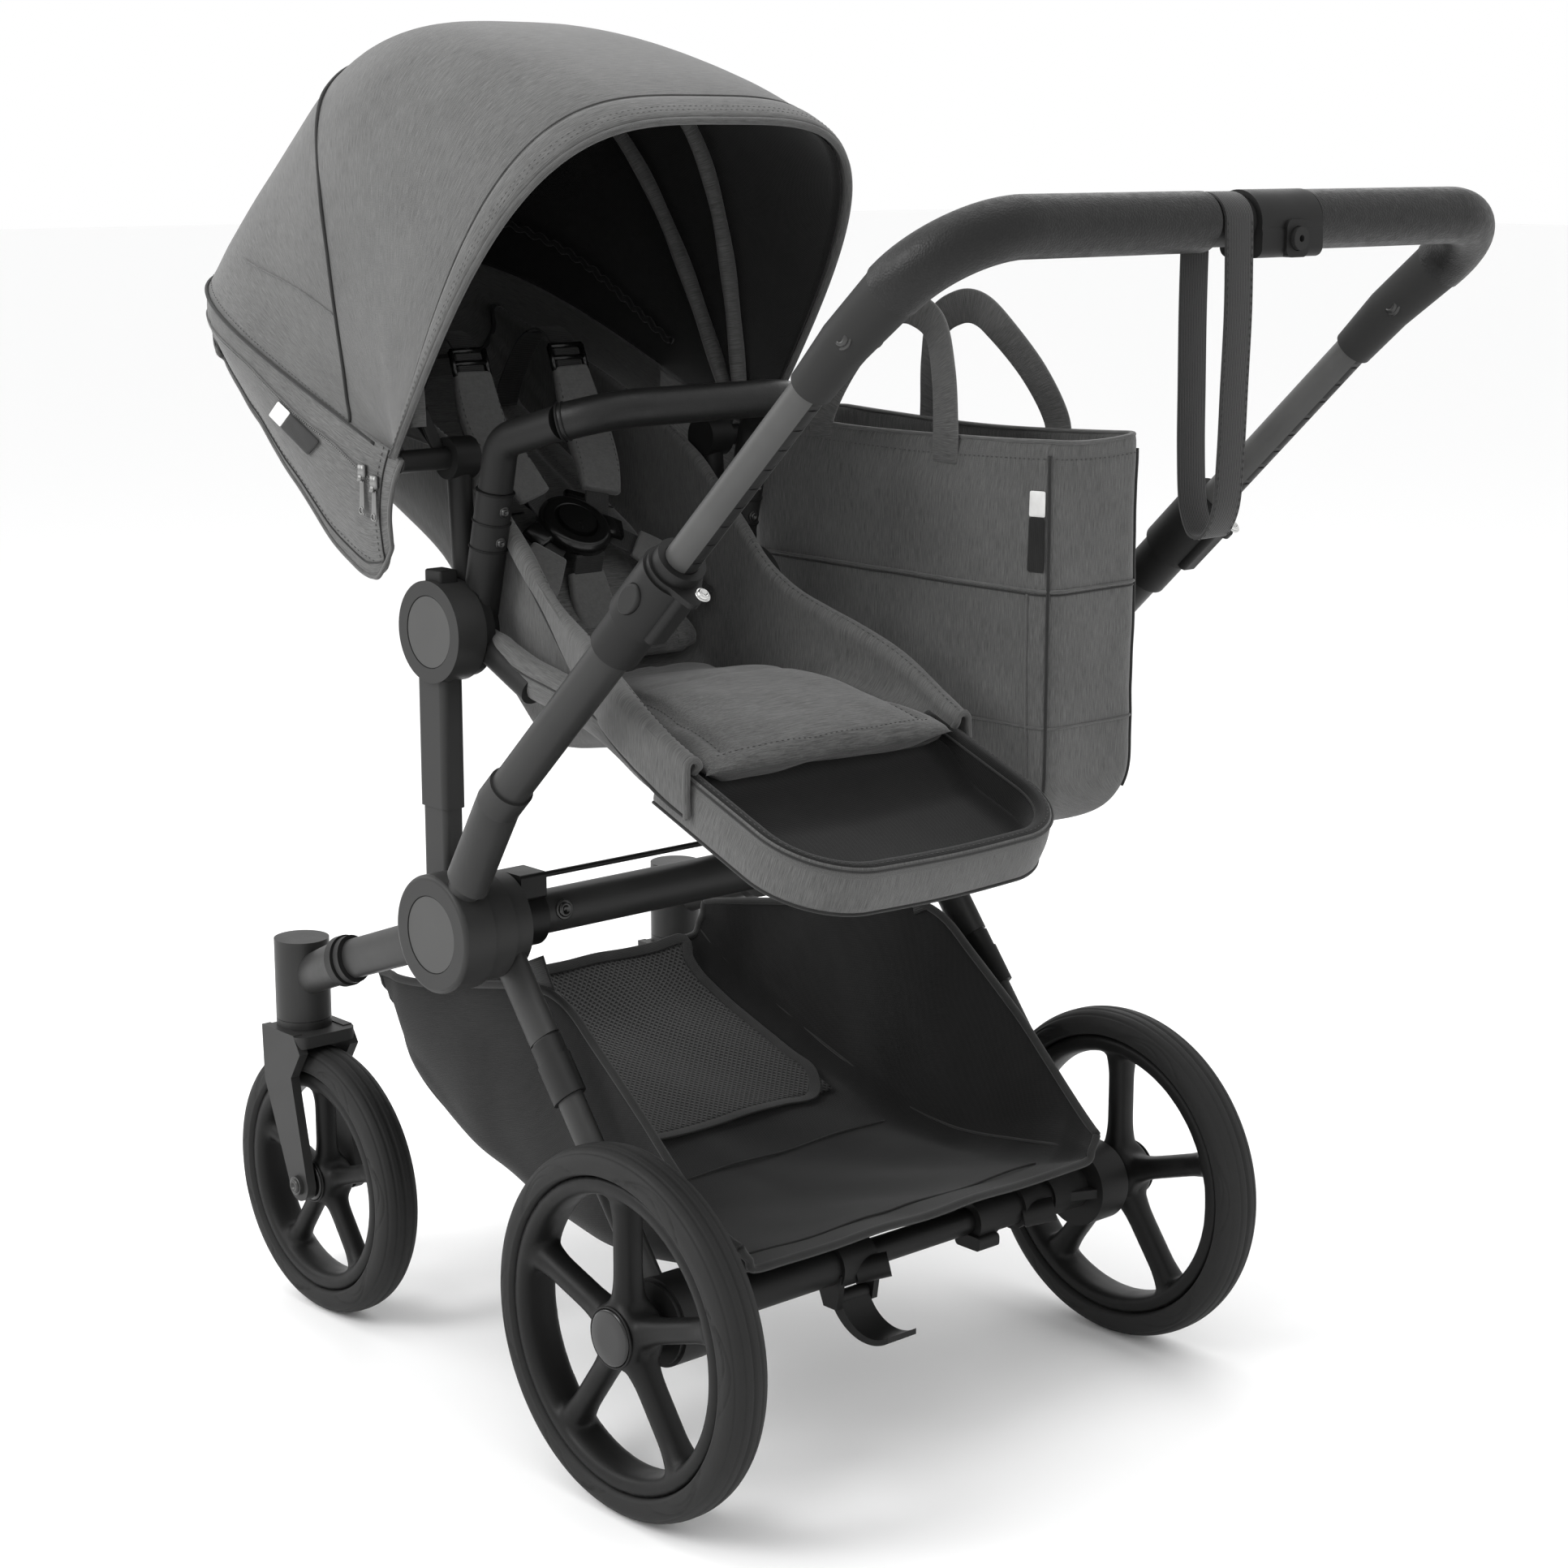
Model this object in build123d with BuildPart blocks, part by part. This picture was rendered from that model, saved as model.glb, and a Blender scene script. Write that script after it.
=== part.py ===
"""Baby stroller: folding chassis, telescoping handle, reclining seat with canopy, basket and side bag."""
from build123d import *
from math import cos, radians, sin
import os

os.makedirs("parts", exist_ok=True)

# Frame: millimetres, +X to the pusher's right, +Y towards the small front wheels, +Z up, ground at Z = 0.
# The rear axle lies at AXLE_Y, so that the origin is under the middle of the whole stroller.
AXLE_Y = -131.75

# ---- wheels
REAR_R, REAR_W, REAR_X = 150.0, 40.0, 283.0
FRONT_R, FRONT_W, FRONT_X = 125.0, 39.0, 221.0
FRONT_Y, SWIVEL_Y = AXLE_Y + 517.0, AXLE_Y + 548.0
SPOKES = 5
SHAFT_GAP = 0.06            # radial clearance of every shaft in its hole
BODY_GAP = 0.4              # clearance between neighbouring bodies

# ---- main hub: the axis that the handle arms and the rear legs fold about
HUB_Y, HUB_Z = AXLE_Y + 219.0, 430.0
HUB_R, HUB_DISC_R = 47.0, 31.5
ARM_IN, ARM_OUT = 278.0, 308.0          # the arm casting's round part, outermost
CORE_IN, CORE_OUT = 254.4, 277.6        # the fixed part of the hub
LUG_IN, LUG_OUT = 236.0, 254.0          # the rear leg's round part
HUB_PIN_R = 12.0
CROSS_R = 18.5

# ---- handle: the arm tubes lie in the planes X = +-ARM_X and rise backwards
ARM_X = 292.0
ARM_ANGLE = 43.7
ARM_FOOT_Y, ARM_FOOT_Z = AXLE_Y + 139.0, 554.0
LOWER_R, LOWER_BORE, UPPER_R = 16.3, 13.7, 13.3
COLLAR_START, COLLAR_END = 198.0, 305.0
UPPER_START, UPPER_END = 196.0, 520.0
GRIP_Y, GRIP_Z, GRIP_R, GRIP_BEND = AXLE_Y - 350.0, 1003.0, 21.0, 65.0
BARE_HALF = 54.0

# ---- seat hubs and the seat that tilts between them
SEAT_Y, SEAT_Z = AXLE_Y + 252.0, 670.0
SEAT_HUB_R, SEAT_DISC_R = 41.5, 29.0
SEAT_MID_X = -106.5
SEAT_HALF = 145.5           # from the seat's middle to the inner faces of its two hubs
HUB_THICK = 28.0
SHELL_HALF = 143.5

# ---- canopy, bumper bar, bag and basket
PIVOT_Y, PIVOT_Z = AXLE_Y + 262.0, 807.0
BAG_LEFT, BAG_RIGHT, BAG_BACK, BAG_FRONT = 90.0, 209.0, AXLE_Y - 75.0, AXLE_Y + 295.0
BAG_FLOOR, BAG_TOP = 497.0, 822.0
BASKET_HALF = 219.5

SIDES = ((-1, "left"), (1, "right"))


def save(part, name):
    """Label a finished piece and write it as its own STEP file."""
    part.label = name
    export_step(part, f"parts/{name}.step")


def fwd(*points):
    """Outline points given as (forward of the rear axle, height), in the sketch plane of the stroller's side."""
    return [(AXLE_Y + y, z) for y, z in points]


def on_arm(side, s, out=0.0, across=0.0):
    """A point on an arm tube: s along it from its foot, out square to it (up and forwards), across along X."""
    a = radians(ARM_ANGLE)
    return Vector(side * ARM_X + across, ARM_FOOT_Y - s * cos(a) + out * sin(a), ARM_FOOT_Z + s * sin(a) + out * cos(a))


def arm_plane(side, s, out=0.0, across=0.0):
    """The plane square to an arm tube at s, its x axis along +X, its normal up the tube."""
    a = radians(ARM_ANGLE)
    return Plane(origin=on_arm(side, s, out, across), x_dir=(1, 0, 0), z_dir=(0, -cos(a), sin(a)))


def disc(x_from, x_to, y, z, radius, bore=0.0):
    """A round plate or ring with its axis along X."""
    with BuildPart() as made:
        with BuildSketch(Plane.YZ.offset(x_from)):
            with Locations((y, z)):
                Circle(radius)
                if bore:
                    Circle(bore, mode=Mode.SUBTRACT)
        extrude(amount=x_to - x_from)
    return made.part


def rod(start, end, radius, bore=0.0):
    """A straight round bar or tube from one point to another."""
    start, end = Vector(*start) if not isinstance(start, Vector) else start, Vector(*end) if not isinstance(
        end, Vector) else end
    with BuildPart() as made:
        with BuildSketch(Plane(origin=start, z_dir=end - start)):
            Circle(radius)
            if bore:
                Circle(bore, mode=Mode.SUBTRACT)
        extrude(amount=(end - start).length)
    return made.part


def bent(points, radius, bend, bore=0.0):
    """A round bar or tube along straight runs joined by arcs of radius bend."""
    with BuildPart() as made:
        with BuildLine() as path:
            FilletPolyline(*points, radius=bend)
        with BuildSketch(Plane(origin=path.line @ 0, z_dir=path.line % 0)):
            Circle(radius)
            if bore:
                Circle(bore, mode=Mode.SUBTRACT)
        sweep()
    return made.part


def side_slab(points, x_from, x_to, round_by=0.0):
    """A slab between two X planes whose side outline is given by points forward of the rear axle."""
    with BuildPart() as made:
        with BuildSketch(Plane.YZ.offset(x_from)) as outline:
            with BuildLine():
                Polyline(*fwd(*points), close=True)
            make_face()
            if round_by:
                fillet(outline.vertices(), radius=round_by)
        extrude(amount=x_to - x_from)
    return made.part


# =====================================================================================================
# Wheels
# =====================================================================================================
def tyre(x, y, radius, width, name):
    """A tyre with a rounded tread, hollowed to sit on its rim."""
    inner = radius - 22.0
    with BuildPart() as made:
        with BuildSketch(Plane.YZ.offset(x - width / 2)):
            with Locations((y, radius)):
                Circle(radius)
                Circle(inner, mode=Mode.SUBTRACT)
        extrude(amount=width)
        edges = made.edges().filter_by(GeomType.CIRCLE).group_by(SortBy.RADIUS)[-1]
        fillet(edges, radius=9.0)
    save(made.part, name)


def rim(side, x, y, radius, width, bore, reach, name):
    """A deep rim ring with five rounded spokes meeting at a hub, bored from its inner side by reach."""
    outer, hub_r = radius - 22.0, 24.0
    ring_w, hub_w = width - 3.0, width - 4.0
    with BuildPart() as made:
        with BuildSketch(Plane.YZ.offset(x - ring_w / 2)):
            with Locations((y, radius)):
                Circle(outer)
                Circle(outer - 13.0, mode=Mode.SUBTRACT)
        extrude(amount=ring_w)
        with BuildSketch(Plane.YZ.offset(x - hub_w / 2)):
            with Locations((y, radius)):
                Circle(hub_r)
        extrude(amount=hub_w)
        for k in range(SPOKES):
            a = radians(90.0 + k * 360.0 / SPOKES)
            with BuildSketch(Plane(origin=(x + side * 3.0, y, radius), x_dir=(1, 0, 0), z_dir=(0, cos(a), sin(a)))):
                Ellipse(8.5, 11.5)
            extrude(amount=outer - 6.0)
        with BuildSketch(Plane.YZ.offset(x - side * width)):
            with Locations((y, radius)):
                Circle(bore)
        extrude(amount=side * reach, mode=Mode.SUBTRACT)
    save(made.part, name)


STUB_R, FRONT_BOLT_R = 6.0, 5.0
for side, word in SIDES:
    tyre(side * REAR_X, AXLE_Y, REAR_R, REAR_W, f"rear_tyre_{word}")
    rim(side, side * REAR_X, AXLE_Y, REAR_R, REAR_W, STUB_R + SHAFT_GAP, REAR_W + 14.0,
        f"rear_rim_{word}")
    tyre(side * FRONT_X, FRONT_Y, FRONT_R, FRONT_W, f"front_tyre_{word}")
    rim(side, side * FRONT_X, FRONT_Y, FRONT_R, FRONT_W, FRONT_BOLT_R + SHAFT_GAP, 2 * FRONT_W,
        f"front_rim_{word}")

# =====================================================================================================
# Front casters: fork with its axle bolt and swivel pin
# =====================================================================================================
SOCKET_BOTTOM, SOCKET_TOP, SOCKET_R = 273.0, 347.0, 25.0
SWIVEL_PIN_R = 8.0
FORK_IN, FORK_OUT = FRONT_W / 2 + 3.0, FRONT_W / 2 + 12.0

for side, word in SIDES:
    mid = side * FRONT_X
    with BuildPart() as fork:
        with BuildSketch(Plane.XY.offset(252.0)):
            with Locations((mid, SWIVEL_Y)):
                Circle(SOCKET_R)
        extrude(amount=SOCKET_BOTTOM - BODY_GAP - 252.0)
        for way in (-1, 1):
            with BuildSketch(Plane.YZ.offset(mid + way * FORK_IN)) as arm:
                with BuildLine():
                    Polyline(
                        (SWIVEL_Y + 22.0, 266.0), (SWIVEL_Y + 20.0, 215.0), (FRONT_Y + 15.0, FRONT_R),
                        (FRONT_Y - 15.0, FRONT_R), (SWIVEL_Y - 24.0, 225.0), (SWIVEL_Y - 40.0, 250.0),
                        (SWIVEL_Y - 30.0, 266.0), close=True)
                make_face()
                with Locations((FRONT_Y, FRONT_R)):
                    Circle(15.0)
            extrude(amount=way * (FORK_OUT - FORK_IN))
        with BuildSketch(Plane.XY.offset(254.0)):
            with Locations((mid, SWIVEL_Y - 9.0)):
                RectangleRounded(2 * FORK_OUT, 62.0, 10.0)
        extrude(amount=11.0)
        with BuildSketch(Plane.XY.offset(260.0)):
            with Locations((mid, SWIVEL_Y)):
                Circle(SWIVEL_PIN_R)
        extrude(amount=66.0)
        with BuildSketch(Plane.YZ.offset(mid - FORK_OUT - 2.5)):
            with Locations((FRONT_Y, FRONT_R)):
                Circle(FRONT_BOLT_R)
        extrude(amount=2 * FORK_OUT + 5.0)
        for way in (-1, 1):
            with BuildSketch(Plane.YZ.offset(mid + way * FORK_OUT)):
                with Locations((FRONT_Y, FRONT_R)):
                    Circle(9.0)
            extrude(amount=way * 3.0)
    save(fork.part, f"fork_{word}")

# =====================================================================================================
# Chassis: hub cores, cross tube, front tubes, caster sockets
# =====================================================================================================
with BuildPart() as hub_cores:
    for side, _ in SIDES:
        add(disc(side * CORE_IN, side * CORE_OUT, HUB_Y, HUB_Z, HUB_R - 1.0, CROSS_R))
        add(disc(side * (CORE_OUT - 6.0), side * (ARM_OUT - 6.0), HUB_Y, HUB_Z, HUB_PIN_R))
        add(disc(side * (CORE_OUT - 6.0), side * (CORE_OUT - 1.0), HUB_Y, HUB_Z, CROSS_R))
save(hub_cores.part, "hub_cores")

with BuildPart() as cross_tube:
    add(disc(-CORE_OUT + 6.0, CORE_OUT - 6.0, HUB_Y, HUB_Z, CROSS_R, CROSS_R - 2.5))
save(cross_tube.part, "cross_tube")

# Clip blocks sit on the cross tube just inside the legs and hold the ends of the thin release rod.
ROD_Y, ROD_Z, ROD_R = HUB_Y - 2.0, HUB_Z + 32.0, 2.5
CLIP_IN, CLIP_OUT = 206.0, 232.0
with BuildPart() as rod_clips:
    for side, _ in SIDES:
        add(disc(side * CLIP_IN, side * CLIP_OUT, HUB_Y, HUB_Z, CROSS_R + 7.0, CROSS_R))
        with BuildSketch(Plane.YZ.offset(side * CLIP_IN)):
            with Locations((HUB_Y - 4.0, HUB_Z + 29.0)):
                RectangleRounded(34.0, 22.0, 3.0)
        extrude(amount=side * (CLIP_OUT - CLIP_IN))
        with BuildSketch(Plane.YZ.offset(side * (CLIP_IN - 1.0))):
            with Locations((HUB_Y, HUB_Z)):
                Circle(CROSS_R)
            with Locations((ROD_Y, ROD_Z)):
                Circle(ROD_R)
        extrude(amount=side * (CLIP_OUT - CLIP_IN + 2.0), mode=Mode.SUBTRACT)

with BuildPart() as release_rod:
    add(disc(-CLIP_OUT + 2.0, CLIP_OUT - 2.0, ROD_Y, ROD_Z, ROD_R))
    add(rod_clips.part)
save(release_rod.part, "release_rod")

# Front tubes run forwards, down and slightly inwards from the hub cores to the clamp rings.
RING_X, RING_Y, RING_Z = 238.0, AXLE_Y + 450.0, 348.0
TUBE_X = 266.0


def front_axis(side, t):
    """A point on a front tube's axis: t = 0 at the hub, 1 at the clamp ring."""
    return Vector(side * (TUBE_X + (RING_X - TUBE_X) * t), HUB_Y + (RING_Y - HUB_Y) * t, HUB_Z + (RING_Z - HUB_Z) * t)


with BuildPart() as front_tubes:
    for side, _ in SIDES:
        run = front_axis(side, 1) - front_axis(side, 0)
        with BuildSketch(Plane(origin=front_axis(side, 0.17), x_dir=(1, 0, 0), z_dir=run)):
            Ellipse(11.5, 17.5)
        extrude(amount=run.length * 0.79)
        with BuildSketch(Plane(origin=front_axis(side, 0.17), x_dir=(1, 0, 0), z_dir=run)):
            Ellipse(12.3, 20.5)
        extrude(amount=run.length * 0.12)
    for side, _ in SIDES:
        add(disc(side * CORE_IN, side * (ARM_OUT + 30.0), HUB_Y, HUB_Z, HUB_R - 1.0), mode=Mode.SUBTRACT)
        add(disc(side * (LUG_IN - 5.0), side * CORE_IN, HUB_Y, HUB_Z, HUB_R - 4.0), mode=Mode.SUBTRACT)
save(front_tubes.part, "front_tubes")

with BuildPart() as clamp_rings:
    for side, _ in SIDES:
        run = front_axis(side, 1) - front_axis(side, 0)
        for start, length, grow in ((0.93, 10.0, 4.5), (0.93 + 12.0 / run.length, 12.0, 6.5)):
            with BuildSketch(Plane(origin=front_axis(side, start), x_dir=(1, 0, 0), z_dir=run)):
                Ellipse(11.5 + grow, 17.5 + grow * 0.8)
            extrude(amount=length)
        with BuildSketch(Plane(origin=front_axis(side, 0.9), x_dir=(1, 0, 0), z_dir=run)):
            Ellipse(11.5, 17.5)
        extrude(amount=run.length * 0.06, mode=Mode.SUBTRACT)
        with BuildSketch(Plane(origin=front_axis(side, 0.93 + 12.0 / run.length), x_dir=(1, 0, 0), z_dir=run)):
            Ellipse(11.5, 17.5)
        extrude(amount=-4.0)
save(clamp_rings.part, "clamp_rings")

LEVER_PIN_R, LEVER_Z = 3.0, 306.0
with BuildPart() as caster_sockets:
    for side, _ in SIDES:
        run = front_axis(side, 1) - front_axis(side, 0)
        start = front_axis(side, 0.93) + run.normalized() * 24.0
        target = Vector(side * FRONT_X, SWIVEL_Y, 312.0)
        with BuildSketch(Plane.XY.offset(SOCKET_BOTTOM)):
            with Locations((side * FRONT_X, SWIVEL_Y)):
                Circle(SOCKET_R)
        extrude(amount=SOCKET_TOP - SOCKET_BOTTOM)
        with BuildSketch(Plane(origin=start, x_dir=(1, 0, 0), z_dir=run)) as near:
            Ellipse(15.5, 20.0)
        with BuildSketch(Plane(origin=target - Vector(0, 6, 0), x_dir=(1, 0, 0), z_dir=(0, 1, 0))) as far:
            Ellipse(14.5, 19.0)
        loft()
    fillet(caster_sockets.edges().group_by(Axis.Z)[-1], radius=4.0)
    for side, _ in SIDES:
        with BuildSketch(Plane.XY.offset(SOCKET_BOTTOM - 1.0)):
            with Locations((side * FRONT_X, SWIVEL_Y)):
                Circle(SWIVEL_PIN_R + SHAFT_GAP)
        extrude(amount=56.0, mode=Mode.SUBTRACT)
        with BuildSketch(Plane.XZ.offset(-(SWIVEL_Y + SOCKET_R - 9.0))):
            with Locations((side * FRONT_X, LEVER_Z)):
                Circle(LEVER_PIN_R + SHAFT_GAP)
        extrude(amount=-20.0, mode=Mode.SUBTRACT)
save(caster_sockets.part, "caster_sockets")

for side, word in SIDES:
    with BuildPart() as lever:
        with BuildSketch(Plane.XZ.offset(-(SWIVEL_Y + SOCKET_R - 8.5))):
            with Locations((side * FRONT_X, LEVER_Z)):
                Circle(LEVER_PIN_R)
        extrude(amount=-10.0)
        with BuildSketch(Plane.XZ.offset(-(SWIVEL_Y + SOCKET_R + 1.0))):
            with Locations((side * FRONT_X, LEVER_Z)):
                RectangleRounded(11.0, 24.0, 5.0)
        extrude(amount=-6.0)
        with BuildSketch(Plane.XZ.offset(-(SWIVEL_Y + SOCKET_R + 6.0))):
            with Locations((side * FRONT_X, LEVER_Z - 6.0)):
                RectangleRounded(9.0, 10.0, 4.0)
        extrude(amount=-6.0)
    save(lever.part, f"swivel_lock_{word}")

# =====================================================================================================
# Rear frame: legs, collars, drums, axle and clamps
# =====================================================================================================
LEG_X = 245.0
DRUM_R, DRUM_IN, DRUM_OUT = 36.0, 222.0, 258.0
AXLE_Z = REAR_R
SLEEVE_R, SLEEVE_BORE, INNER_R = 16.0, 11.6, 11.6
leg_run = Vector(0, AXLE_Y - HUB_Y, AXLE_Z - HUB_Z)
leg_dir = leg_run.normalized()


def leg_plane(side, s):
    """The plane square to a rear leg, s below the hub axis."""
    return Plane(origin=Vector(side * LEG_X, HUB_Y, HUB_Z) + leg_dir * s, x_dir=(1, 0, 0), z_dir=leg_dir)


with BuildPart() as rear_legs:
    for side, _ in SIDES:
        add(disc(side * LUG_IN, side * LUG_OUT, HUB_Y, HUB_Z, HUB_R - 5.0))
        with BuildSketch(leg_plane(side, 20.0)):
            Ellipse(8.8, 19.0)
        extrude(amount=88.0)
        with BuildSketch(leg_plane(side, 100.0)):
            Ellipse(8.3, 15.5)
        extrude(amount=leg_run.length - 104.0)
        add(disc(side * (LUG_IN - 2.0), side * (LUG_OUT + 2.0), HUB_Y, HUB_Z, CROSS_R + SHAFT_GAP), mode=Mode.SUBTRACT)
        add(disc(side * (DRUM_IN - 5.0), side * (DRUM_OUT + 5.0), AXLE_Y, AXLE_Z, DRUM_R), mode=Mode.SUBTRACT)
save(rear_legs.part, "rear_legs")

with BuildPart() as leg_collars:
    for side, _ in SIDES:
        for start, length, grow in ((110.0, 17.0, 3.0), (127.0, 34.0, 4.5)):
            with BuildSketch(leg_plane(side, start)):
                Ellipse(8.3 + grow * 0.55, 15.5 + grow)
            extrude(amount=length)
        with BuildSketch(leg_plane(side, 105.0)):
            Ellipse(8.3, 15.5)
        extrude(amount=70.0, mode=Mode.SUBTRACT)
save(leg_collars.part, "leg_collars")

with BuildPart() as wheel_drums:
    for side, _ in SIDES:
        add(disc(side * DRUM_IN, side * (DRUM_OUT - 4.0), AXLE_Y, AXLE_Z, DRUM_R))
        add(disc(side * (DRUM_OUT - 4.0), side * DRUM_OUT, AXLE_Y, AXLE_Z, DRUM_R - 2.5))
        add(disc(side * DRUM_OUT, side * (REAR_X - REAR_W / 2 - 1.0), AXLE_Y, AXLE_Z, 15.0))
        add(disc(side * DRUM_OUT, side * (REAR_X + 13.0), AXLE_Y, AXLE_Z, STUB_R))
        with BuildSketch(Plane.XY.offset(AXLE_Z - 4.0)):
            with BuildLine():
                Polyline((side * (DRUM_IN + 2.0), AXLE_Y + 30.0), (side * (DRUM_IN + 2.0), AXLE_Y - 30.0),
                         (side * 184.0, AXLE_Y - 12.0), (side * 184.0, AXLE_Y + 12.0), close=True)
            make_face()
        extrude(amount=8.0)
        add(disc(side * 180.0, side * (DRUM_IN + 1.0), AXLE_Y, AXLE_Z, SLEEVE_R + 3.0))
        add(disc(side * 160.0, side * (DRUM_IN - 2.0), AXLE_Y, AXLE_Z, SLEEVE_R), mode=Mode.SUBTRACT)
save(wheel_drums.part, "wheel_drums")

with BuildPart() as axle_sleeves:
    add(disc(-DRUM_IN + 2.0, -60.0, AXLE_Y, AXLE_Z, SLEEVE_R, SLEEVE_BORE))
    add(disc(112.0, DRUM_IN - 2.0, AXLE_Y, AXLE_Z, SLEEVE_R, SLEEVE_BORE))
save(axle_sleeves.part, "axle_sleeves")

with BuildPart() as axle_tube:
    add(disc(-150.0, 190.0, AXLE_Y, AXLE_Z, INNER_R, INNER_R - 2.0))
save(axle_tube.part, "axle_tube")


def board_socket(x_from, x_to, x_hole):
    """A clamp round the axle with a short open tube that a ride-on board would plug into."""
    hole = Plane(origin=(x_hole, AXLE_Y - 12.0, AXLE_Z - 6.0), x_dir=(0, 0, 1), z_dir=(0.75, -0.62, 0.22))
    with BuildPart() as made:
        add(disc(x_from, x_to, AXLE_Y, AXLE_Z, SLEEVE_R + 4.0))
        with BuildSketch(hole):
            Circle(10.5)
        extrude(amount=28.0)
        with BuildSketch(hole.offset(10.0)):
            Circle(6.5)
        extrude(amount=20.0, mode=Mode.SUBTRACT)
    return made.part


PEDAL_Y, PEDAL_Z, PEDAL_PIN_R = AXLE_Y - 4.0, AXLE_Z - 29.0, 3.0
with BuildPart() as axle_clamps:
    add(board_socket(-72.0, -34.0, -52.0))
    add(board_socket(142.0, 166.0, 146.0))
    add(disc(88.0, 112.0, AXLE_Y, AXLE_Z, SLEEVE_R + 2.5))
    with BuildSketch(Plane.YZ.offset(84.0)):
        with Locations((AXLE_Y - 6.0, AXLE_Z - 16.0)):
            RectangleRounded(30.0, 12.0, 4.0)
    extrude(amount=24.0)
    for x_from, x_to in ((-74.0, -68.0), (-34.0, -28.0)):
        with BuildSketch(Plane.YZ.offset(x_from)):
            with BuildLine():
                Polyline((PEDAL_Y - 8.0, PEDAL_Z - 6.0), (PEDAL_Y + 8.0, PEDAL_Z - 6.0),
                         (AXLE_Y + 17.0, AXLE_Z - 4.0), (AXLE_Y - 17.0, AXLE_Z - 4.0), close=True)
            make_face()
        extrude(amount=x_to - x_from)
    add(disc(-74.0, -28.0, PEDAL_Y, PEDAL_Z, PEDAL_PIN_R))
    add(disc(-160.0, -60.0, AXLE_Y, AXLE_Z, SLEEVE_R), mode=Mode.SUBTRACT)
    add(disc(112.0, 200.0, AXLE_Y, AXLE_Z, SLEEVE_R), mode=Mode.SUBTRACT)
    add(disc(-100.0, 150.0, AXLE_Y, AXLE_Z, INNER_R), mode=Mode.SUBTRACT)
save(axle_clamps.part, "axle_clamps")

# Brake pedal: hangs from a pin under the left clamp; its curved plate reaches back for the foot.
with BuildPart() as brake_pedal:
    with BuildSketch(Plane.YZ.offset(-67.0)) as pedal_side:
        with BuildLine():
            ThreePointArc((PEDAL_Y + 5.0, PEDAL_Z - 6.0), (PEDAL_Y - 26.0, PEDAL_Z - 27.0), (PEDAL_Y - 62.0, PEDAL_Z - 20.0))
            Line((PEDAL_Y - 62.0, PEDAL_Z - 20.0), (PEDAL_Y - 62.0, PEDAL_Z - 15.0))
            ThreePointArc((PEDAL_Y - 62.0, PEDAL_Z - 15.0), (PEDAL_Y - 28.0, PEDAL_Z - 20.0), (PEDAL_Y - 4.0, PEDAL_Z + 4.0))
            Line((PEDAL_Y - 4.0, PEDAL_Z + 4.0), (PEDAL_Y + 5.0, PEDAL_Z - 6.0))
        make_face()
        with Locations((PEDAL_Y, PEDAL_Z)):
            Circle(6.5)
    extrude(amount=32.0)
    add(disc(-70.0, -30.0, PEDAL_Y, PEDAL_Z, PEDAL_PIN_R + SHAFT_GAP), mode=Mode.SUBTRACT)
save(brake_pedal.part, "brake_pedal")

# =====================================================================================================
# Handle: lower arms
# =====================================================================================================
def arm_casting(side):
    """A handle arm: a drum round the hub pin that runs up into the sleeve for the arm tube."""
    foot = Vector(side * ARM_X, ARM_FOOT_Y, ARM_FOOT_Z)
    hub = Vector(side * ARM_X, HUB_Y, HUB_Z)
    with BuildPart() as arm:
        add(disc(side * ARM_IN, side * ARM_OUT, HUB_Y, HUB_Z, HUB_R + 2.0))
        fillet(arm.edges().filter_by(GeomType.CIRCLE).sort_by(Axis.X)[-1 if side > 0 else 0], radius=4.0)
        add(rod(hub, foot, 13.9))
        with BuildSketch(arm_plane(side, -8.0)):
            Circle(18.6)
        extrude(amount=24.0)
        with BuildSketch(Plane(origin=foot + (hub - foot) * 0.62, x_dir=(1, 0, 0), z_dir=foot - hub)):
            Ellipse(15.4, 20.5)
        with BuildSketch(arm_plane(side, -8.0)):
            Circle(18.6)
        loft()
        split(bisect_by=Plane.YZ.offset(side * (ARM_IN - 3.5)), keep=Keep.TOP if side > 0 else Keep.BOTTOM)
        with BuildSketch(arm_plane(side, -2.0)):
            Circle(LOWER_R)
        extrude(amount=40.0, mode=Mode.SUBTRACT)
        add(disc(side * (ARM_IN - 6.0), side * (ARM_OUT - 5.0), HUB_Y, HUB_Z, HUB_PIN_R + SHAFT_GAP), mode=Mode.SUBTRACT)
        add(disc(side * (ARM_OUT - 3.0), side * (ARM_OUT + 3.0), HUB_Y, HUB_Z, HUB_DISC_R + 0.8), mode=Mode.SUBTRACT)
        add(disc(side * (CORE_IN - 9.0), side * ARM_IN, HUB_Y, HUB_Z, HUB_R + 4.0), mode=Mode.SUBTRACT)
    return arm.part


with BuildPart() as arm_castings:
    for side, _ in SIDES:
        add(arm_casting(side))
save(arm_castings.part, "arm_castings")

with BuildPart() as hub_discs:
    for side, _ in SIDES:
        add(disc(side * (ARM_OUT - 3.0), side * (ARM_OUT - 0.6), HUB_Y, HUB_Z, HUB_DISC_R))
save(hub_discs.part, "hub_discs")

with BuildPart() as arm_tubes:
    for side, _ in SIDES:
        with BuildSketch(arm_plane(side, -2.0)):
            Circle(LOWER_R)
            Circle(LOWER_BORE, mode=Mode.SUBTRACT)
        extrude(amount=COLLAR_END + 2.0 - 8.0)
save(arm_tubes.part, "arm_tubes")

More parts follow.
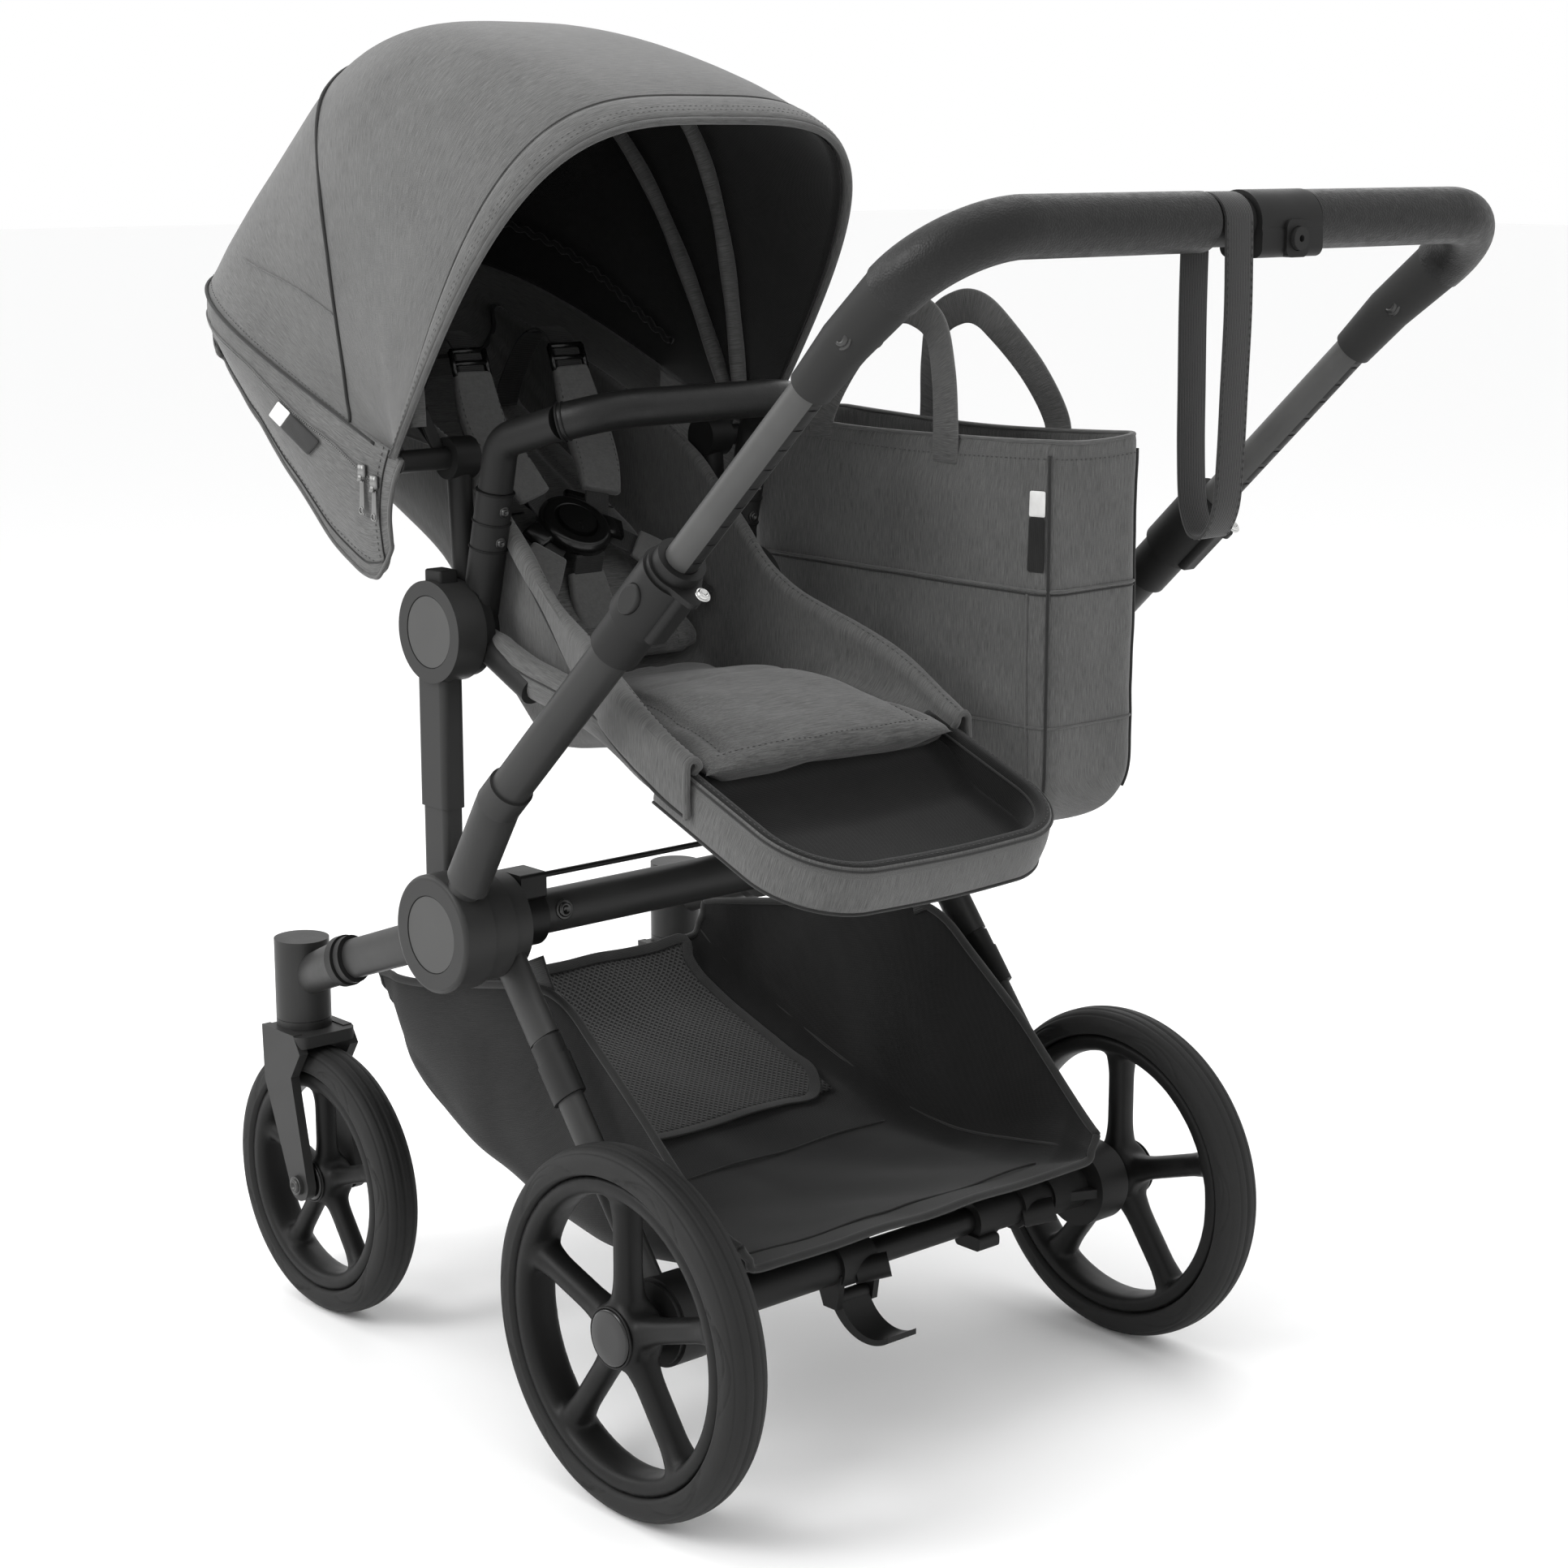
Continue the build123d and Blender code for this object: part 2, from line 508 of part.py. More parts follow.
BUTTON_S, BUTTON_REACH = 262.0, 26.0
with BuildPart() as arm_collars:
    for side, _ in SIDES:
        for start, end, radius in ((COLLAR_START, 236.0, 20.5), (236.0, 290.0, 24.0)):
            with BuildSketch(arm_plane(side, start)):
                Circle(radius)
            extrude(amount=end - start)
        with BuildSketch(arm_plane(side, 290.0)):
            Circle(22.0)
            with Locations((0, -27.0)):
                Circle(7.0)
            with BuildLine():
                Polyline((-15.0, -16.0), (15.0, -16.0), (6.5, -30.0), (-6.5, -30.0), close=True)
            make_face()
        extrude(amount=5.0)
        with BuildSketch(arm_plane(side, 295.0)):
            Circle(19.5)
        extrude(amount=COLLAR_END - 295.0)
        with BuildSketch(arm_plane(side, 240.0)):
            with Locations((0, -20.0)):
                RectangleRounded(20.0, 16.0, 5.0)
        extrude(amount=50.0)
        with BuildSketch(arm_plane(side, COLLAR_START - 1.0)):
            Circle(LOWER_R)
        extrude(amount=COLLAR_END - 7.0 - COLLAR_START, mode=Mode.SUBTRACT)
        with BuildSketch(arm_plane(side, COLLAR_END - 10.0)):
            Circle(UPPER_R + BODY_GAP)
        extrude(amount=20.0, mode=Mode.SUBTRACT)
        with BuildSketch(Plane(origin=on_arm(side, BUTTON_S, 0, side * 18.5), x_dir=arm_plane(side, 0).z_dir,
                               z_dir=(side, 0, 0))):
            Ellipse(15.0, 9.5)
        extrude(amount=20.0, mode=Mode.SUBTRACT)
save(arm_collars.part, "arm_collars")

for side, word in SIDES:
    with BuildPart() as button:
        with BuildSketch(Plane(origin=on_arm(side, BUTTON_S, 0, side * 22.0), x_dir=arm_plane(side, 0).z_dir,
                               z_dir=(side, 0, 0))):
            Ellipse(14.5, 9.0)
        extrude(amount=BUTTON_REACH - 22.0)
        fillet(button.edges().sort_by(Axis.X)[-1 if side > 0 else 0], radius=1.8)
    save(button.part, f"collar_button_{word}")

# =====================================================================================================
# Handle: telescoping upper part
# =====================================================================================================
RACK_HALF, RACK_DEPTH = 5.0, 3.0


with BuildPart() as upper_tubes:
    for side, _ in SIDES:
        with BuildSketch(arm_plane(side, UPPER_START)):
            Circle(UPPER_R)
            Circle(UPPER_R - 3.5, mode=Mode.SUBTRACT)
            with Locations((0, -UPPER_R)):
                Rectangle(2 * RACK_HALF, 2 * RACK_DEPTH, mode=Mode.SUBTRACT)
        extrude(amount=UPPER_END - UPPER_START)
save(upper_tubes.part, "upper_tubes")

with BuildPart() as handle_racks:
    for side, _ in SIDES:
        with BuildSketch(arm_plane(side, UPPER_START)):
            with Locations((0, -UPPER_R + RACK_DEPTH / 2)):
                Rectangle(2 * RACK_HALF, RACK_DEPTH)
            Circle(UPPER_R - 0.15, mode=Mode.INTERSECT)
        extrude(amount=UPPER_END - UPPER_START)
        for k in range(9):
            with BuildSketch(arm_plane(side, 316.0 + 21.0 * k)):
                with Locations((0, -UPPER_R - 0.2)):
                    Rectangle(2 * RACK_HALF + 2.0, 2.4)
            extrude(amount=5.0, mode=Mode.SUBTRACT)
save(handle_racks.part, "handle_racks")

ELBOW_START, ELBOW_TURN = 494.0, 554.0


def grip_line(side):
    """Corners of the grip's centre line: on the elbow, at the handle's corner, beside the bare middle."""
    turn = on_arm(side, ELBOW_TURN)
    corner = Vector(side * ARM_X, GRIP_Y, GRIP_Z)
    return turn, corner, Vector(side * BARE_HALF, GRIP_Y, GRIP_Z)


with BuildPart() as elbows:
    for side, _ in SIDES:
        turn, corner, _end = grip_line(side)
        toward = (corner - turn).normalized()
        start = corner - toward * (GRIP_BEND + 2.0)
        with BuildSketch(arm_plane(side, ELBOW_START)):
            Circle(16.0)
        with BuildSketch(arm_plane(side, ELBOW_TURN - 14.0)):
            Circle(18.0)
        loft()
        with BuildSketch(arm_plane(side, ELBOW_TURN - 14.0)):
            Circle(18.0)
        with BuildSketch(Plane(origin=start, x_dir=(1, 0, 0), z_dir=toward)):
            Circle(20.0)
        loft()
        with BuildSketch(arm_plane(side, ELBOW_START - 1.0)):
            Circle(UPPER_R)
        extrude(amount=UPPER_END - ELBOW_START + 1.0, mode=Mode.SUBTRACT)
save(elbows.part, "elbows")

with BuildPart() as grips:
    for side, _ in SIDES:
        turn, corner, end = grip_line(side)
        grip_start = corner - (corner - turn).normalized() * (GRIP_BEND + 1.5)
        add(bent((grip_start, corner, end), GRIP_R, GRIP_BEND))
save(grips.part, "grips")

CLAMP_LEFT, CLAMP_RIGHT = -14.0, 52.0
with BuildPart() as crossbar:
    add(disc(-BARE_HALF, BARE_HALF, GRIP_Y, GRIP_Z, 17.5))
save(crossbar.part, "crossbar")

CLAMP_BUTTON_X, CLAMP_BUTTON_Z = 22.0, GRIP_Z - 12.0
with BuildPart() as handle_clamp:
    with BuildSketch(Plane.YZ.offset(CLAMP_LEFT)):
        with Locations((GRIP_Y, GRIP_Z - 1.0)):
            Circle(22.5)
        with Locations((GRIP_Y - 4.0, GRIP_Z - 13.0)):
            RectangleRounded(38.0, 24.0, 7.0)
    extrude(amount=CLAMP_RIGHT - CLAMP_LEFT)
    with BuildSketch(Plane.XZ.offset(-(GRIP_Y - 15.0))):
        with Locations((CLAMP_BUTTON_X, CLAMP_BUTTON_Z)):
            RectangleRounded(24.0, 26.0, 6.0)
    extrude(amount=10.0)
    with BuildSketch(Plane.XZ.offset(-(GRIP_Y - 20.5))):
        with Locations((CLAMP_BUTTON_X, CLAMP_BUTTON_Z)):
            Circle(8.5)
    extrude(amount=20.0, mode=Mode.SUBTRACT)
    add(disc(CLAMP_LEFT - 1.0, CLAMP_RIGHT + 1.0, GRIP_Y, GRIP_Z, 17.5), mode=Mode.SUBTRACT)
save(handle_clamp.part, "handle_clamp")

with BuildPart() as clamp_button:
    with BuildSketch(Plane.XZ.offset(-(GRIP_Y - 23.5))):
        with Locations((CLAMP_BUTTON_X, CLAMP_BUTTON_Z)):
            Circle(8.0)
            Circle(2.5, mode=Mode.SUBTRACT)
    extrude(amount=5.0)
save(clamp_button.part, "clamp_button")

# Wrist strap: a loop of webbing round the bare crossbar, hanging as one closed band.
STRAP_LEFT, STRAP_RIGHT, STRAP_THICK = -50.0, -20.0, 2.4
STRAP_TOP_R, STRAP_LOW_R, STRAP_LOW_Z = 17.5 + BODY_GAP + STRAP_THICK, 21.0, 806.0
with BuildPart() as wrist_strap:
    for reach, mode in ((0.0, Mode.ADD), (STRAP_THICK, Mode.SUBTRACT)):
        top_r, low_r = STRAP_TOP_R - reach, STRAP_LOW_R - reach
        with BuildSketch(Plane.YZ.offset(STRAP_LEFT)):
            with BuildLine():
                ThreePointArc((GRIP_Y + top_r, GRIP_Z), (GRIP_Y, GRIP_Z + top_r), (GRIP_Y - top_r, GRIP_Z))
                Line((GRIP_Y - top_r, GRIP_Z), (GRIP_Y - low_r, STRAP_LOW_Z))
                ThreePointArc((GRIP_Y - low_r, STRAP_LOW_Z), (GRIP_Y, STRAP_LOW_Z - low_r), (GRIP_Y + low_r, STRAP_LOW_Z))
                Line((GRIP_Y + low_r, STRAP_LOW_Z), (GRIP_Y + top_r, GRIP_Z))
            make_face()
        extrude(amount=STRAP_RIGHT - STRAP_LEFT, mode=mode)
save(wrist_strap.part, "wrist_strap")

# =====================================================================================================
# Seat posts, seat hubs and the bag's rest
# =====================================================================================================
POST_X, POST_HALF_X = 264.0, 11.0
POST_BACK, POST_FRONT = AXLE_Y + 241.0, AXLE_Y + 278.0
POST_SPLIT = 524.0
CENTRE_X = SEAT_MID_X + SEAT_HALF + HUB_THICK / 2
POSTS = ((-POST_X, SEAT_Z - 25.0), (CENTRE_X, SEAT_Z - 25.0), (POST_X, 520.0))


def post_prism(x, z_from, z_to, grow):
    """An upright length of oblong post centred on x."""
    with BuildPart() as made:
        with BuildSketch(Plane.XY.offset(z_from)):
            with Locations((x, (POST_BACK + POST_FRONT) / 2)):
                RectangleRounded(2 * (POST_HALF_X + grow), POST_FRONT - POST_BACK + 2 * grow, 6.0)
        extrude(amount=z_to - z_from)
    return made.part


with BuildPart() as seat_posts:
    for x, top in POSTS:
        add(post_prism(x, HUB_Z + 8.0, min(POST_SPLIT, top), -1.5))
        if top > POST_SPLIT:
            add(post_prism(x, POST_SPLIT, top, 0.0))
    add(disc(CENTRE_X - 13.0, CENTRE_X + 13.0, HUB_Y, HUB_Z, CROSS_R + 8.0))
    add(disc(-CORE_OUT - 1.0, CORE_OUT + 1.0, HUB_Y, HUB_Z, CROSS_R), mode=Mode.SUBTRACT)
    for side, _ in SIDES:
        add(disc(side * CORE_IN, side * (ARM_OUT + 20.0), HUB_Y, HUB_Z, HUB_R - 1.0), mode=Mode.SUBTRACT)
        add(disc(side * (LUG_IN - 0.4), side * (LUG_OUT + 0.4), HUB_Y, HUB_Z, HUB_R - 4.4), mode=Mode.SUBTRACT)
    for x in (SEAT_MID_X - SEAT_HALF - HUB_THICK, SEAT_MID_X + SEAT_HALF):
        add(disc(x, x + HUB_THICK, SEAT_Y, SEAT_Z, SEAT_HUB_R), mode=Mode.SUBTRACT)
    add(front_tubes.part, mode=Mode.SUBTRACT)
save(seat_posts.part, "seat_posts")

SEAT_PIN_R = 8.0
TAB_HALF_Y, TAB_LOW, TAB_TOP = 11.0, SEAT_Z + 33.0, SEAT_Z + 50.0
hub_sides = ((-1, "left", SEAT_MID_X - SEAT_HALF), (1, "right", SEAT_MID_X + SEAT_HALF))
with BuildPart() as seat_hubs:
    for side, _, x in hub_sides:
        add(disc(x, x + side * HUB_THICK, SEAT_Y, SEAT_Z, SEAT_HUB_R))
        add(disc(x + side * 5.0, x - side * 10.0, SEAT_Y, SEAT_Z, SEAT_PIN_R))
        add(disc(x + side * (HUB_THICK - 2.5), x + side * (HUB_THICK + 2.0), SEAT_Y, SEAT_Z, SEAT_DISC_R + 0.8),
            mode=Mode.SUBTRACT)
        with BuildSketch(Plane.XY.offset(TAB_LOW - 6.0)):
            with Locations((x + side * HUB_THICK / 2, SEAT_Y)):
                RectangleRounded(19.0, 2 * TAB_HALF_Y + 1.0, 2.5)
        extrude(amount=40.0, mode=Mode.SUBTRACT)
save(seat_hubs.part, "seat_hubs")

with BuildPart() as seat_hub_discs:
    for side, _, x in hub_sides:
        add(disc(x + side * (HUB_THICK - 2.5), x + side * (HUB_THICK - 0.5), SEAT_Y, SEAT_Z, SEAT_DISC_R))
save(seat_hub_discs.part, "seat_hub_discs")

for side, word, x in hub_sides:
    with BuildPart() as tab:
        with BuildSketch(Plane.XY.offset(TAB_LOW)):
            with Locations((x + side * HUB_THICK / 2, SEAT_Y)):
                RectangleRounded(18.0, 2 * TAB_HALF_Y, 2.2)
        extrude(amount=TAB_TOP - TAB_LOW)
        fillet(tab.edges().group_by(Axis.Z)[-1], radius=2.0)
    save(tab.part, f"recline_tab_{word}")

with BuildPart() as bag_rest:
    add(disc(CENTRE_X + POST_HALF_X - 1.5, POST_X - POST_HALF_X + 1.5, AXLE_Y + 260.0, BAG_FLOOR - 16.0, 8.0))
    with BuildSketch(Plane.XY.offset(BAG_FLOOR - 9.0)):
        with Locations(((BAG_LEFT + BAG_RIGHT) / 2, AXLE_Y + 195.0)):
            RectangleRounded(100.0, 170.0, 15.0)
    extrude(amount=9.0 - 0.3)
save(bag_rest.part, "bag_rest")

# =====================================================================================================
# Seat: adapters, shell, pads, footrest
# =====================================================================================================
CLIP_Y, CLIP_Z, CLIP_R, PEG_R = AXLE_Y + 212.0, 785.0, 15.0, 9.0
BAR_X = SHELL_HALF - 10.0               # the bumper's legs, from the seat's middle
clip_foot, clip_top = Vector(0, SEAT_Y - 16.0, SEAT_Z + 14.0), Vector(0, CLIP_Y, CLIP_Z)
CLIP_DIR = (clip_top - clip_foot).normalized()
with BuildPart() as seat_adapters:
    for side, _, x in hub_sides:
        inner, leg_x = x - side * 1.0, SEAT_MID_X + side * BAR_X
        middle = Vector(leg_x, 0, 0)
        add(disc(inner, inner - side * 9.0, SEAT_Y, SEAT_Z, 39.0))
        add(disc(inner - side * 9.0, leg_x - side * 12.0, SEAT_Y, SEAT_Z, 26.0))
        add(rod(middle + clip_foot, middle + clip_top, CLIP_R))
        add(rod((leg_x, SEAT_Y, SEAT_Z), (leg_x, SEAT_Y - 88.0, SEAT_Z - 40.0), 13.0))
        add(rod((leg_x, SEAT_Y, SEAT_Z), (leg_x, PIVOT_Y, PIVOT_Z), 10.0))
        add(disc(leg_x - side * 11.5, leg_x + side * 12.0, PIVOT_Y, PIVOT_Z, 17.0))
        add(disc(leg_x + side * 8.0, leg_x + side * 58.0, PIVOT_Y, PIVOT_Z, 9.0))
        add(disc(inner, inner + side * 20.0, SEAT_Y, SEAT_Z, SEAT_HUB_R + 1.5), mode=Mode.SUBTRACT)
        add(disc(x, x - side * 12.0, SEAT_Y, SEAT_Z, SEAT_PIN_R + SHAFT_GAP), mode=Mode.SUBTRACT)
        add(rod(middle + clip_top - CLIP_DIR * 26.0, middle + clip_top + CLIP_DIR * 5.0, PEG_R + SHAFT_GAP),
            mode=Mode.SUBTRACT)
save(seat_adapters.part, "seat_adapters")

SHELL_OUT = ((-35, 556), (60, 580), (122, 570), (200, 563), (244, 600), (330, 690), (380, 722), (470, 775),
             (530, 820), (578, 866), (566, 882), (262, 800), (215, 780), (150, 715), (60, 640), (-30, 598))
SHELL_IN = ((-60, 566), (70, 596), (140, 585), (196, 579), (236, 612), (322, 704), (376, 738), (462, 789),
            (520, 832), (564, 874), (564, 960), (-60, 960))
WALL = 7.0
with BuildPart() as seat_shell:
    add(side_slab(SHELL_OUT, SEAT_MID_X - SHELL_HALF, SEAT_MID_X + SHELL_HALF))
    add(side_slab(SHELL_IN, SEAT_MID_X - SHELL_HALF + WALL, SEAT_MID_X + SHELL_HALF - WALL), mode=Mode.SUBTRACT)
    for side, _ in SIDES:
        leg_x = SEAT_MID_X + side * BAR_X
        add(side_slab(((98, 590), (300, 640), (330, 700), (300, 870), (190, 870), (98, 690)), leg_x - side * 20.0,
                      leg_x + side * 20.0), mode=Mode.SUBTRACT)
save(seat_shell.part, "seat_shell")

PAD_HALF = 110.0                        # the pads pass between the adapters
with BuildPart() as seat_pads:
    add(side_slab(((-30, 576), (70, 598), (140, 588), (194, 582), (222, 610), (150, 628), (90, 632), (-22, 592)),
                  SEAT_MID_X - PAD_HALF, SEAT_MID_X + PAD_HALF, 4.0))
    add(side_slab(((238, 618), (322, 708), (376, 742), (462, 793), (518, 838), (508, 852), (452, 808), (364, 758),
                   (306, 722), (226, 634)), SEAT_MID_X - PAD_HALF, SEAT_MID_X + PAD_HALF, 4.0))
save(seat_pads.part, "seat_pads")

# Footrest: a padded hoop that slopes down from the seat's front, and the tray inside it.
FOOT_LEN, FOOT_CORNER, FOOT_BAND, FOOT_DEEP = 150.0, 70.0, 12.0, 42.0
FOOT_SLOPE = radians(21.0)
foot_plane = Plane(origin=(SEAT_MID_X, AXLE_Y - 32.0, 573.0), x_dir=(1, 0, 0), z_dir=(0, -sin(FOOT_SLOPE), cos(FOOT_SLOPE)))


def foot_outline(inset):
    """The footrest's U in plan, closed a little inside the seat's front edge."""
    with BuildSketch() as made:
        RectangleRounded(2 * (SHELL_HALF - inset), 2 * (FOOT_LEN - inset), FOOT_CORNER - inset)
        with Locations((0, FOOT_LEN)):
            Rectangle(4 * SHELL_HALF, 2 * FOOT_LEN, mode=Mode.SUBTRACT)
    return made.sketch


with BuildPart() as footrest_hoop:
    with BuildSketch(foot_plane.offset(-FOOT_DEEP / 2)):
        add(foot_outline(0.0))
        add(foot_outline(FOOT_BAND), mode=Mode.SUBTRACT)
    extrude(amount=FOOT_DEEP)
    add(side_slab(SHELL_OUT, SEAT_MID_X - SHELL_HALF - 1.0, SEAT_MID_X + SHELL_HALF + 1.0), mode=Mode.SUBTRACT)
save(footrest_hoop.part, "footrest_hoop")

with BuildPart() as footrest_tray:
    with BuildSketch(foot_plane.offset(-FOOT_DEEP / 2 + 3.0)):
        add(foot_outline(FOOT_BAND + 0.3))
        with Locations((0, 0)):
            Rectangle(4 * SHELL_HALF, 24.0, mode=Mode.SUBTRACT)
    extrude(amount=5.0)
save(footrest_tray.part, "footrest_tray")


def ribbon(points, width, thick, bend=10.0):
    """A flat strap along straight runs, its width across the seat."""
    with BuildPart() as made:
        with BuildLine() as path:
            FilletPolyline(*points, radius=bend) if len(points) > 2 else Line(*points)
        with BuildSketch(Plane(origin=path.line @ 0, x_dir=(1, 0, 0), z_dir=path.line % 0)):
            Rectangle(width, thick)
        sweep()
    return made.part


def at(x, y, z):
    """A point with y measured forward from the rear axle."""
    return Vector(x, AXLE_Y + y, z)


# Harness: two padded shoulder straps, a crotch strap and two waist straps meet at the buckle.
BUCKLE = at(SEAT_MID_X - 8.0, 277.0, 735.0)
buckle_plane = Plane(origin=BUCKLE, x_dir=(1, 0, 0), z_dir=(0, -0.62, 0.785))
with BuildPart() as buckle:
    with BuildSketch(buckle_plane):
        Circle(33.0)
    extrude(amount=13.0)
    with BuildSketch(buckle_plane.offset(9.0)):
        Circle(17.6)
    extrude(amount=10.0, mode=Mode.SUBTRACT)
save(buckle.part, "buckle")

with BuildPart() as buckle_button:
    with BuildSketch(buckle_plane.offset(11.4)):
        Circle(17.0)
    extrude(amount=4.0)
save(buckle_button.part, "buckle_button")

with BuildPart() as harness:
    for side, _ in SIDES:
        x = SEAT_MID_X + side * 52.0
        add(ribbon((at(x - side * 16.0, 292.0, 762.0), at(x, 330.0, 812.0), at(x, 352.0, 860.0)), 46.0, 11.0, 20.0))
        add(ribbon((at(SEAT_MID_X + side * 46.0, 262.0, 728.0), at(SEAT_MID_X + side * 78.0, 232.0, 690.0)), 34.0, 8.0))
        add(ribbon((at(x, 350.0, 854.0), at(x, 372.0, 896.0), at(x, 424.0, 880.0), at(x, 452.0, 822.0)), 26.0, 2.5))
        add(ribbon((at(SEAT_MID_X + side * 30.0, 284.0, 747.0), at(x - side * 14.0, 296.0, 766.0)), 14.0, 2.5))
    add(ribbon((at(SEAT_MID_X - 8.0, 266.0, 700.0), at(SEAT_MID_X - 8.0, 252.0, 668.0),
                at(SEAT_MID_X - 8.0, 214.0, 628.0)), 30.0, 3.0))
    add(buckle.part, mode=Mode.SUBTRACT)
    add(seat_pads.part, mode=Mode.SUBTRACT)
save(harness.part, "harness")

# =====================================================================================================
# Bumper bar
# =====================================================================================================


def bar_side(side):
    """Corners of one end of the bumper bar, from its clip to the ring that meets the grip."""
    foot = Vector(SEAT_MID_X + side * BAR_X, CLIP_Y, CLIP_Z) + CLIP_DIR * 0.6
    return (foot, foot + CLIP_DIR * 40.0, at(SEAT_MID_X + side * (BAR_X - 15.0), 146.0, 842.0))


with BuildPart() as bumper_grip:
    add(bent((bar_side(-1)[2], at(SEAT_MID_X - BAR_X + 42.0, 112.0, 853.0), at(SEAT_MID_X + BAR_X - 42.0, 112.0, 853.0),
              bar_side(1)[2]), 15.0, 60.0))
save(bumper_grip.part, "bumper_grip")

with BuildPart() as bumper_bar:
    for side, _ in SIDES:
        foot, knee, ring = bar_side(side)
        add(bent((foot, knee, ring), 14.0, 22.0))
        add(rod(foot - CLIP_DIR * 22.0, foot + CLIP_DIR * 2.0, PEG_R))
    add(bumper_grip.part, mode=Mode.SUBTRACT)
save(bumper_bar.part, "bumper_bar")

# =====================================================================================================
# Canopy: a fan of arched sections about the pivot
# =====================================================================================================
# Each section: angle above forwards-level, crown distance from the pivot, half width.
FAN = ((123.4, 321, 193), (100, 321, 193), (84, 339, 192), (70, 369, 190), (57, 380, 188), (45, 377, 186), (34, 383, 185),
       (27, 390, 186), (20, 400, 187), (14, 392, 187), (-5, 255, 187), (-27, 165, 187), (-50, 124, 187), (-65, 121, 187))
SQUARENESS, SKIN = 3.6, 5.0
BACK_EDGE = 14


def arch(angle, reach, half, start):
    """One arched section, a flattened arch that starts a little off the pivot's axis."""
    a = radians(angle)
    plane = Plane(origin=(SEAT_MID_X, PIVOT_Y, PIVOT_Z), x_dir=(1, 0, 0), z_dir=(0, -sin(a), cos(a)))
    power = 2.0 / SQUARENESS
    rise = [(half * cos(radians(t)) ** power, reach * sin(radians(t)) ** power) for t in (24, 40, 55, 70)]
    right = [(half, start)] + rise
    points = right + [(0.0, reach)] + [(-x, y) for x, y in reversed(right)]
    with BuildSketch(plane) as made:
        with BuildLine():
            Polyline(*points, close=True)
        make_face()
    return made.sketch


with BuildPart() as canopy_shell:
    for angle, reach, half in FAN:
        add(arch(angle, reach, half, 12.0))
    loft(ruled=True)
    for k, (angle, reach, half) in enumerate(FAN):
        grow = -SKIN if angle > BACK_EDGE else 30.0
        turn = 1.0 if k == 0 else (-1.0 if k == len(FAN) - 1 else 0.0)
        add(arch(angle + turn, reach + grow, half - SKIN, 6.0))
    loft(ruled=True, mode=Mode.SUBTRACT)
save(canopy_shell.part, "canopy_shell")

BOW_ANGLE, BOW_REACH, BOW_HALF, BOW_R = 84.0, 300.0, 152.0, 6.0
bow_dir = Vector(0, cos(radians(BOW_ANGLE)), sin(radians(BOW_ANGLE)))
pivot = Vector(SEAT_MID_X, PIVOT_Y, PIVOT_Z)
across = Vector(BOW_HALF, 0, 0)
with BuildPart() as canopy_bow:
    add(bent((pivot - across, pivot - across + bow_dir * BOW_REACH, pivot + across + bow_dir * BOW_REACH,
              pivot + across), BOW_R, 100.0))
    for side, _ in SIDES:
        leg_x = SEAT_MID_X + side * BOW_HALF
        add(disc(leg_x - side * 5.0, leg_x + side * 8.0, PIVOT_Y, PIVOT_Z, 16.0))
        add(disc(leg_x - side * 8.0, leg_x + side * 10.0, PIVOT_Y, PIVOT_Z, 9.0 + SHAFT_GAP), mode=Mode.SUBTRACT)
save(canopy_bow.part, "canopy_bow")

# =====================================================================================================
# Basket and bag
# =====================================================================================================
BASKET_OUT = ((-46, 183), (-10, 175), (131, 158), (264, 183), (400, 231), (466, 292), (470, 322), (430, 330),
              (200, 375), (178, 375), (60, 292), (-46, 212))
BASKET_IN = ((-43, 186), (-9, 178), (131, 161), (263, 186), (398, 234), (463, 293), (467, 340), (430, 400),
             (-43, 400))
SKIN_B = 3.0


def basket_plan(inset):
    """The basket seen from above, narrower at the front so that it clears the caster sockets."""
    half, tip = BASKET_HALF - inset, 196.0 - inset
    back, knee, front = AXLE_Y - 60.0, AXLE_Y + 395.0, AXLE_Y + 500.0
    with BuildPart() as made:
        with BuildSketch(Plane.XY.offset(100.0)):
            with BuildLine():
                Polyline((-half, back), (-half, knee), (-tip, knee + 46.0), (-tip, front), (tip, front),
                         (tip, knee + 46.0), (half, knee), (half, back), close=True)
            make_face()
        extrude(amount=400.0)
    return made.part


with BuildPart() as basket:
    add(side_slab(BASKET_OUT, -BASKET_HALF - 5.0, BASKET_HALF + 5.0))
    add(basket_plan(0.0), mode=Mode.INTERSECT)
    with BuildPart(mode=Mode.SUBTRACT):
        add(side_slab(BASKET_IN, -BASKET_HALF - 5.0, BASKET_HALF + 5.0))
        add(basket_plan(SKIN_B), mode=Mode.INTERSECT)
save(basket.part, "basket")

BAG_SKIN = 4.0
bag_mid_x, bag_mid_y = (BAG_LEFT + BAG_RIGHT) / 2, (BAG_BACK + BAG_FRONT) / 2
bag_x, bag_y = BAG_RIGHT - BAG_LEFT, BAG_FRONT - BAG_BACK
with BuildPart() as bag_body:
    with BuildSketch(Plane.YZ.offset(BAG_LEFT)) as bag_side:
        with Locations((bag_mid_y, (BAG_FLOOR + BAG_TOP) / 2)):
            Rectangle(bag_y, BAG_TOP - BAG_FLOOR)
        fillet(bag_side.vertices().group_by(Axis.Z)[0], radius=50.0)
    extrude(amount=bag_x)
    with BuildSketch(Plane.YZ.offset(BAG_LEFT + BAG_SKIN)) as bag_room:
        with Locations((bag_mid_y, (BAG_FLOOR + BAG_TOP) / 2 + BAG_SKIN)):
            Rectangle(bag_y - 2 * BAG_SKIN, BAG_TOP - BAG_FLOOR)
        fillet(bag_room.vertices().group_by(Axis.Z)[0], radius=46.0)
    extrude(amount=bag_x - 2 * BAG_SKIN, mode=Mode.SUBTRACT)
save(bag_body.part, "bag_body")

